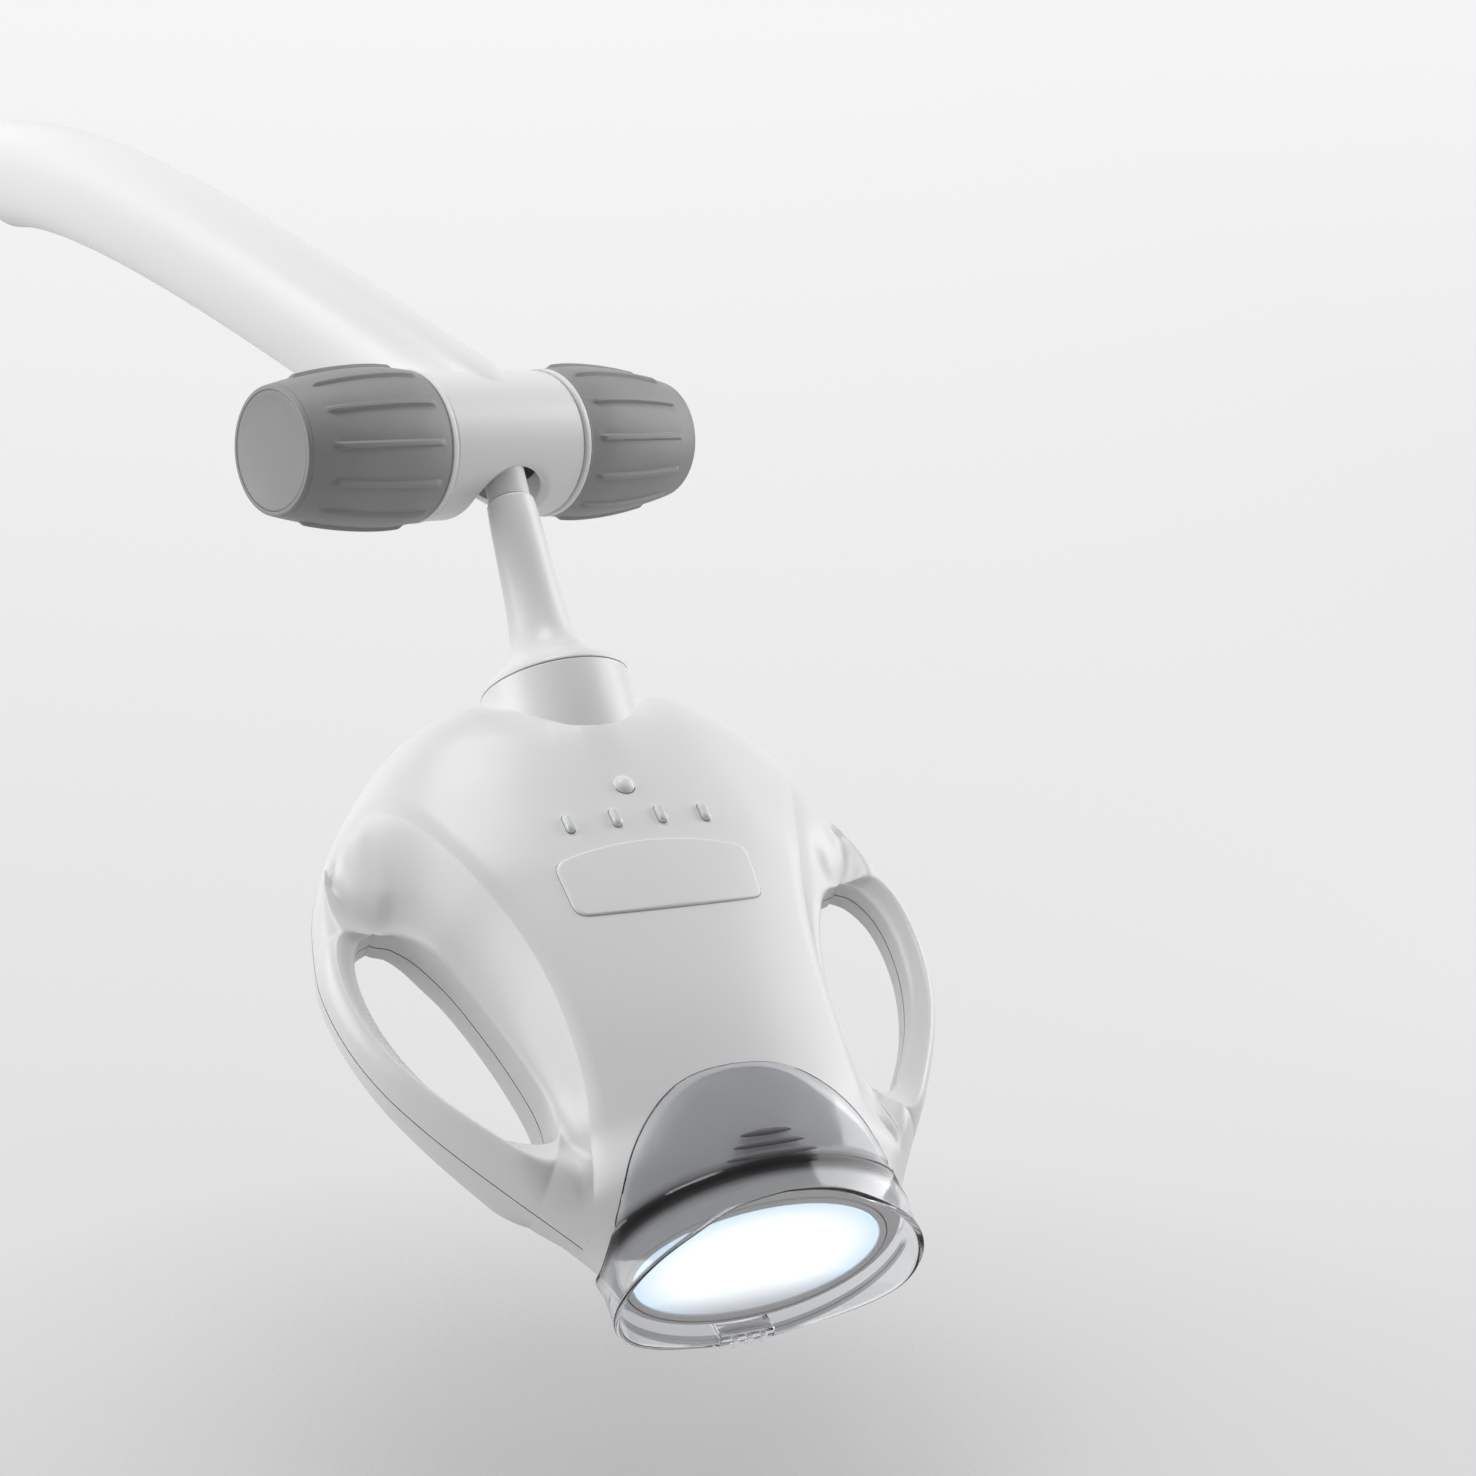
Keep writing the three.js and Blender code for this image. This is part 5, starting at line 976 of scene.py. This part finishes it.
rightSide = np.linspace(topLine[-1], footLine[0], 12)
leftSide = np.linspace(footLine[-1], topLine[0], 12)
badgeRing = roundedLoop([topLine, rightSide, footLine, leftSide], bl["corner"])
levels = [(s, 0, bl["rise"]) for s in np.linspace(0, bl["level"], 16)]
levels += [(s, grow, bl["rise"] + up) for s, grow, up in bl["bead"]] + [bl["sunk"]]
meshObject("badgeSkin", onCrown(badgeRing, levels), headFrame, "head", shellWhite, ["badge_plate"],
           sharp=50)
# painted shadow: a dark ring in the gap round the badge
dark("badgeGap", onCrown(badgeRing, bl["gap"]))

barLook = {"halfWidth": 1.6, "halfLength": 3.9, "rise": 2.0, "pitch": 17.6, "down": 77.5,
           "bead": [(0, 0), (0.3, 0), (0.5, 0), (0.66, -0.06), (0.82, -0.25), (0.93, -0.55), (1, -1.0)],
           "sunk": (1, 0, -0.4), "gap": [(1, 0.05, 0.03), (1, 0.3, 0.03)]}
levels = [(s, 0, barLook["rise"] + up) for s, up in barLook["bead"]] + [barLook["sunk"]]
for k in range(4):
    ring = stadium(barLook["pitch"] * (k - 1.5), -barLook["down"], barLook["halfWidth"], barLook["halfLength"])
    meshObject(f"lightBar_{k + 1}", onCrown(ring, levels), headFrame, "head", lightPipe,
               [f"session_light_{k + 1}"], sharp=60)
    # painted shadow: a dark ring in the gap round each light bar
    dark(f"lightBarGap_{k + 1}", onCrown(ring, barLook["gap"]))

domeLook = {"radius": 3.9, "rise": 2.2, "down": 63.0, "sunk": (1, 0, -1.5), "gap": [(1, 0.05, 0.03), (1, 0.34, 0.03)]}
dome = stadium(0, -domeLook["down"], domeLook["radius"], domeLook["radius"] + 0.001, 90)
arcs = np.linspace(0, np.pi / 2, 16)
levels = [(math.sin(q), 0, domeLook["rise"] * math.cos(q)) for q in arcs] + [domeLook["sunk"]]
meshObject("startButtonSkin", onCrown(dome, levels), headFrame, "button", shellWhite,
           ["start_button"], sharp=60)
# painted shadow: a dark ring in the gap round the start button
dark("startButtonGap", onCrown(dome, domeLook["gap"]))

ventLook = {"count": 7, "down": 82.0, "pitch": 7.4, "halfWidth": 1.7, "halfLength": 21.0, "depth": 0.06,
            "bead": [(1, -0.25, 0.02), (1, -0.1, 0.22), (1, 0.15, 0.3), (1, 0.4, 0.2), (1, 0.6, -0.05)]}
screwLook = {"radius": 3.2, "places": ((0.44, 0.165), (0.43, 0.52), (0.375, 0.79)),
             "bead": [(1, -0.2, 0.02), (1, -0.05, 0.2), (1, 0.2, 0.26), (1, 0.5, -0.05)]}


# painted shade: the skin is not cut, a dark patch just above it stands for the shade inside the opening
def recess(names, outline, bead, steps):  # dark opening on the rear shell with a white bead round it
    floor = [(s, 0, ventLook["depth"]) for s in np.linspace(0, 1, steps)]
    dark(names[0], onCrown(outline, floor, True), reverse=True)
    meshObject(names[1], [(onCrown(outline, bead, True), False, True, True)], headFrame, "head", shellWhite)


for k in range(ventLook["count"]):
    z = -ventLook["down"] + ventLook["pitch"] * (k - 3)
    slit = stadium(0, z, ventLook["halfWidth"], ventLook["halfLength"], 120, upright=False)
    recess((f"ventShade_{k + 1}", f"ventBead_{k + 1}"), slit, ventLook["bead"], 10)
for k, (across, down) in enumerate(screwLook["places"]):
    for side, word in ((1, "right"), (-1, "left")):
        r = screwLook["radius"]
        well = stadium(side * across * h["halfWidth"], -down * h["length"], r, r + 0.001, 48)
        recess((f"screwWellShade_{k + 1}_{word}", f"screwRim_{k + 1}_{word}"), well, screwLook["bead"], 5)
print("stage: controls made")

# Window: bezel ring and lit lens in the nose frame, whose -z is the way the light leaves
# levels: growth beyond the window's edge, height, share of the way out
windowLook = {"halfWidth": 46.0, "halfDepth": 22.0,
              "bezel": [(2.6, 6.0, 1), (2.6, 0.5, 1), (2.45, 0.12, 1), (2.1, 0.0, 1), (0.5, 0.0, 1), (0.15, 0.1, 1),
                        (0.0, 0.4, 1), (0.0, 3.9, 1), (-1.3, 3.9, 1), (-1.3, 6.0, 1), (2.6, 6.0, 1)],
              "face": (-0.3, 0.35, 0.97),
              "edge": [(-0.3, 0.38, 0.99), (-0.3, 0.6, 1), (-0.3, 3.3, 1), (-0.3, 3.3, 0.6), (-0.3, 3.3, 0.0)]}


def ovalRings(levels, count=180):
    a = circle(count)
    rows = []
    for grow, z, share in levels:
        rows.append(np.stack([(windowLook["halfWidth"] + grow) * share * np.cos(a),
                              (windowLook["halfDepth"] + grow) * share * np.sin(a), z + 0 * a], -1))
    return np.array(rows)


meshObject("bezelSkin", ovalRings(windowLook["bezel"]), noseFrame, "head", shellWhite,
           ["window_bezel"], sharp=50)
grow, face, most = windowLook["face"]
lens = ovalRings([(grow, face, s) for s in np.linspace(0, most, 14)] + windowLook["edge"])
meshObject("lensSkin", [(lens, False, True, True)], noseFrame, "head", glowLens, ["window_lens"],
           sharp=50)
print("stage: window made")

# Light guide: clear sleeve round the nose; for each angle it runs from its upper edge to the slanted rim
guideLook = {"wall": 2.2, "clearance": 0.35, "flare": 5.5, "sideHeight": 1.5, "rearTop": 5.0, "tabShift": 3.0,
             "around": 360, "rows": 70, "fold": 0.7, "foldAt": 6.5, "foldHalf": 0.8, "edge": 0.7,
             "flareFrom": 218.0, "flareOver": 42.6, "ribDown": 210.5, "ribPitch": 3.7, "ribRise": 0.9, "ribHalf": 17.0,
             "ribRadius": 1.1, "ribSink": 0.12, "firstTop": -215.0, "firstRim": -240.0, "turns": 60, "ease": 0.3,
             "backFrom": 0.10, "backOver": 0.5, "foldOver": 0.3, "drawn": 0.9, "skin": 0.02}
g = guideLook
# z of the tab's edge, by the distance from its middle
tabEdge = smoothTable([(0, -181.0), (12, -181.9), (22, -184.8), (30, -189.6), (37, -195.8), (43, -203.4),
                       (47.5, -212.0), (52, -221.5), (55.5, -229.0), (59, -238.0), (63, -247.0)])
# height of the rim above the nose plane, by the angle from the front
rimOf = smoothTable([(0, -6.0), (20, -7.2), (37, -9.9), (55, -11.2), (72, -11.6), (90, -11.2), (110, -10.2),
                     (125, -8.2), (140, -6.0), (158, -4.2), (180, -3.6)])


def guideEdge(a):
    # z of the upper edge: a tab at the front, a level band at the sides, a low band behind
    z = np.full(len(a), g["firstTop"])
    for _ in range(g["turns"]):
        x, y = guideSkin(z, a, g["wall"])[:, :2].T
        tab = tabEdge(np.abs(x + g["tabShift"]))
        band = planeZ(y, g["sideHeight"])
        front = np.maximum(tab, band)
        low = planeZ(y, g["rearTop"])
        back = smooth((np.sin(a) + g["backFrom"]) / g["backOver"])
        z = z + g["ease"] * (front + (low - front) * back - z)
    return z


def guideSkin(z, a, grow):
    spread = g["flare"] * np.clip((-z - g["flareFrom"]) / g["flareOver"], 0, 2) ** 1.2
    wide = np.maximum(bodyAt(z), outlineAt(z)) + g["clearance"] + grow + spread
    deep = np.where(np.sin(a) < 0, crownDepth(False, z), crownDepth(True, z)) + g["clearance"] + grow + spread
    return np.stack([wide * np.cos(a), h["parting"] + deep * np.sin(a), z + 0 * a], -1)


def guideGrid():
    a = circle(g["around"])
    top = guideEdge(a)
    bottom = np.full(len(a), g["firstRim"])
    for _ in range(10):
        around = np.degrees(np.abs((a - 1.5 * np.pi + np.pi) % (2 * np.pi) - np.pi))
        bottom = planeZ(guideSkin(bottom, a, g["wall"])[:, 1], rimOf(around))
    outside, inside = [], []
    for t in np.linspace(0, 1, g["rows"]):
        z = top + (bottom - top) * t
        local = math.sin(noseSlope) * (guideSkin(z, a, 0)[:, 1] - places["noseBack"]) + math.cos(noseSlope) * (
            z + places["noseEnd"])
        fold = g["fold"] * np.exp(-((local - g["foldAt"]) / g["foldHalf"]) ** 2) * smooth(-np.sin(a) / g["foldOver"])
        drawn = g["drawn"] * (edgeDrop(np.abs(z - top), g["edge"]) + edgeDrop(np.abs(z - bottom), g["edge"]))
        outside.append(guideSkin(z, a, g["wall"] - fold - drawn))
        inside.append(guideSkin(z, a, g["skin"] + drawn))
    return np.array(outside + inside[::-1])


def ribGrid(down, half):
    # raised grip line on the tab: a half round bulge that fades at both ends
    s = np.linspace(-1, 1, 60)[:, None]
    q = np.linspace(0, np.pi, 13)[None]
    z = -down + g["ribRadius"] * np.cos(q) * np.sqrt(np.clip(1 - s**2, 0.0004, 1))
    x = half * s + 0 * q
    wide = outlineAt(z) + g["clearance"] + g["wall"]
    a = -np.arccos(np.clip(x / wide, -1, 1))
    rise = g["ribRise"] * np.sin(q) * np.sqrt(np.clip(1 - s**2, 0.0004, 1)) - g["ribSink"]
    return guideSkin(z.reshape(-1), a.reshape(-1), (g["wall"] + rise).reshape(-1)).reshape(*z.shape, 3)


meshObject("lightGuideSkin", [(guideGrid(), True, True, False)], headFrame, "guide", guideClear,
           ["light_guide"], sharp=50)
for k in range(3):
    down = g["ribDown"] - g["ribPitch"] * (k - 1)
    half = g["ribHalf"] - g["ribPitch"] * k
    meshObject(f"gripRib_{k + 1}", [(ribGrid(down, half), False, False, False)], headFrame, "guide", ribShade,
               sharp=60)
print("stage: light guide made")

# Rear catch of the guide: a rounded block with three small teeth at its lower edge
catchLook = {"half": 10.5, "low": -4.0, "high": 7.0, "near": 28.4, "far": 33.2, "corner": 1.0, "tooth": 2.4,
             "toothPitch": 5.3, "toothDrop": 1.9}


def roundedBox(x0, x1, y0, y1, z0, z1, r, count=6):
    # rings of a rounded rectangle in x and y, drawn in at both ends of z
    a = np.concatenate([np.linspace(k * np.pi / 2, (k + 1) * np.pi / 2, count) for k in range(4)])
    quarter = np.repeat(np.arange(4), count)
    sx, sy = np.array([1, -1, -1, 1])[quarter], np.array([1, 1, -1, -1])[quarter]
    cx, cy = (x0 + x1) / 2, (y0 + y1) / 2
    hx, hy = (x1 - x0) / 2 - r, (y1 - y0) / 2 - r
    ends = [(math.cos(q), math.sin(q)) for q in np.linspace(0, np.pi / 2, count)]
    levels = [(z0 + r - r * s, c) for c, s in ends[::-1]] + [(z1 - r + r * s, c) for c, s in ends]
    rings = [np.stack([cx + sx * hx + r * c * np.cos(a), cy + sy * hy + r * c * np.sin(a), z + 0 * a], -1)
             for z, c in levels]
    first, last = (np.stack([cx + 0 * a, cy + 0 * a, z + 0 * a], -1) for z in (z0, z1))
    return np.array([first, *rings, last])


cl = catchLook
catchPatches = [(roundedBox(-cl["half"], cl["half"], cl["near"], cl["far"], cl["low"], cl["high"], cl["corner"]),
                 False, True, False)]
for k in range(3):
    x = cl["toothPitch"] * (k - 1)
    catchPatches.append((roundedBox(x - cl["tooth"] / 2, x + cl["tooth"] / 2, cl["near"] + 0.2, cl["far"] - 0.9,
                                    cl["low"] - cl["toothDrop"], cl["low"] + 1.0, 0.5), False, True, False))
meshObject("guideCatch", catchPatches, noseFrame, "guide", guideClear, sharp=50)
print("stage: catch made")

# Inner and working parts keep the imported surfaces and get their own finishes
finishes = {
    turnedSteel: ["arm_tube", "root_flange", "swing_pin", "swivel_spindle", "spindle_nut", "knob_insert_left",
                  "knob_insert_right", "chassis_plate"] + [f"shell_screw_{k}" for k in range(1, 7)],
    milledAluminium: ["tilt_block", "neck_eye", "heat_sink"],
    brakeBrown: ["friction_disc_left", "friction_disc_right"],
    bearingTan: ["tilt_bush_left", "tilt_bush_right", "swivel_bush"],
    boardGreen: ["control_board", "led_board"],
    blackPlastic: ["button_switch", "fan_frame", "fan_rotor"],
    polishedFilm: ["reflector"],
}
for material, names in finishes.items():
    for name in names:
        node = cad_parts[name]
        node.data.materials.clear()
        node.data.materials.append(material)
print("stage: inner parts finished")

# Floor and backdrop in one sweep: pale grey, flat lit for the camera, with the lamp's soft shadow, partly cast by the
# lamps and partly painted by ambient occlusion
stageLook = {"floor": -0.478, "back": 0.7, "radius": 2.2, "front": -3.0, "half": 5.0, "height": 4.0,
             "top": 0.865, "bottom": 0.575, "shadowShare": 0.16, "paper": 0.42, "shade": 0.34, "shadeKeep": 0.72,
             "shadeDark": 0.62, "shadeRays": 8, "from": -0.29, "to": 2.65, "centre": -0.34, "sky": 0.26}
sl = stageLook
sweepX = np.linspace(-sl["half"], sl["half"], 3)
bend = np.linspace(0, np.pi / 2, 24)
ridge = np.concatenate([[(sl["front"], sl["floor"])],
                        np.stack([sl["back"] + sl["radius"] * np.sin(bend),
                                  sl["floor"] + sl["radius"] * (1 - np.cos(bend))], -1),
                        [(sl["back"] + sl["radius"], sl["height"])]])
# the sweep faces the camera, so its profile runs away along the camera's level heading
heading = -np.array(camera["back"][:2]) / np.linalg.norm(camera["back"][:2])
sideways = np.array([heading[1], -heading[0]])
grid = []
for away, up in ridge:
    line = heading * away + sideways * sweepX[:, None]
    grid.append(np.stack([line[:, 0], line[:, 1] + sl["centre"], np.full(len(line), up)], -1))
grid = np.array(grid)
floorMesh = bpy.data.meshes.new("sweep")
floorMesh.from_pydata(grid.reshape(-1, 3).tolist(), [], gridFaces(*grid.shape[:2], 0).tolist())
for polygon in floorMesh.polygons:
    polygon.use_smooth = True
# length along the profile, counted from under the lamp, for the paper's slow gradient
run = runOf(ridge) + sl["front"]
along = floorMesh.attributes.new("along", "FLOAT", "POINT")
along.data.foreach_set("value", np.repeat(run, len(sweepX)).astype(np.float32))
floorObject = placed("sweep", floorMesh)
floorMaterial, floorTree, floorShader = nodesOf("sweepPaper")
feed(floorTree, floorShader, {"Base Color": (sl["paper"],) * 3 + (1,), "Roughness": 0.9, "Specular IOR Level": 0.0})
# seen directly, the paper is mostly an even glow that brightens backward and upward, with a share of the lamps' cast
# shadow and a painted soft shade under the object, where ambient occlusion darkens the glow
place = added(floorTree, "Attribute", attribute_name="along").outputs["Fac"]
# painted shadow: ambient occlusion darkens the glow under the object
cover = added(floorTree, "AmbientOcclusion", {"Distance": sl["shade"]}, samples=sl["shadeRays"]).outputs["AO"]
glow = added(floorTree, "Emission", {
    "Color": ramp(floorTree, place, sl["from"], sl["to"], ((sl["bottom"],) * 3, (sl["top"],) * 3)),
    "Strength": span(floorTree, cover, sl["shadeKeep"], 1.0, sl["shadeDark"], 1.0)})
paper = added(floorTree, "BsdfDiffuse", {"Color": (sl["shadowShare"],) * 3 + (1,)})
both = added(floorTree, "AddShader", {0: glow.outputs["Emission"], 1: paper.outputs["BSDF"]})
rays = added(floorTree, "LightPath").outputs
seen = rays["Is Camera Ray"]
for kind in ("Is Transmission Ray", "Is Glossy Ray"):
    seen = added(floorTree, "Math", {0: seen, 1: rays[kind]}, operation="MAXIMUM").outputs["Value"]
choose = added(floorTree, "MixShader", {0: seen, 1: floorShader.outputs["BSDF"], 2: both.outputs["Shader"]})
floorTree.links.new(choose.outputs["Shader"], floorTree.nodes["Material Output"].inputs["Surface"])
floorMesh.materials.append(floorMaterial)

world = bpy.data.worlds.new("studio")
world.use_nodes = True
feed(world.node_tree, world.node_tree.nodes["Background"], {"Color": (1, 1, 1, 1), "Strength": sl["sky"]})
bpy.context.scene.world = world


def softbox(name, place, target, size, power):
    # rectangular area lamp that faces its target
    data = bpy.data.lights.new(name, "AREA")
    data.shape = "RECTANGLE"
    data.size, data.size_y = size
    data.energy = power
    lamp = placed(name, data)
    z = np.array(place, float) - np.array(target, float)
    z /= np.linalg.norm(z)
    x = np.cross((0, 0, 1), z)
    x = x / np.linalg.norm(x)
    m = np.eye(4)
    m[:3, 0], m[:3, 1], m[:3, 2], m[:3, 3] = x, np.cross(z, x), z, place
    lamp.matrix_world = Matrix(m.tolist())


lampTarget = (0.0, -0.38, -0.22)
softbox("leftBox", (-1.25, 0.45, 0.25), lampTarget, (0.9, 1.3), 15.0)
softbox("rightBox", (1.2, -0.9, 0.25), lampTarget, (0.8, 1.3), 12.0)
softbox("topBox", (-0.1, -0.3, 1.2), lampTarget, (0.7, 0.6), 8.0)
print("stage: stage and lamps made")

scene = bpy.context.scene
scene.view_settings.view_transform = "Standard"
scene.render.resolution_x = scene.render.resolution_y = 1476
print("stage: sizes written")
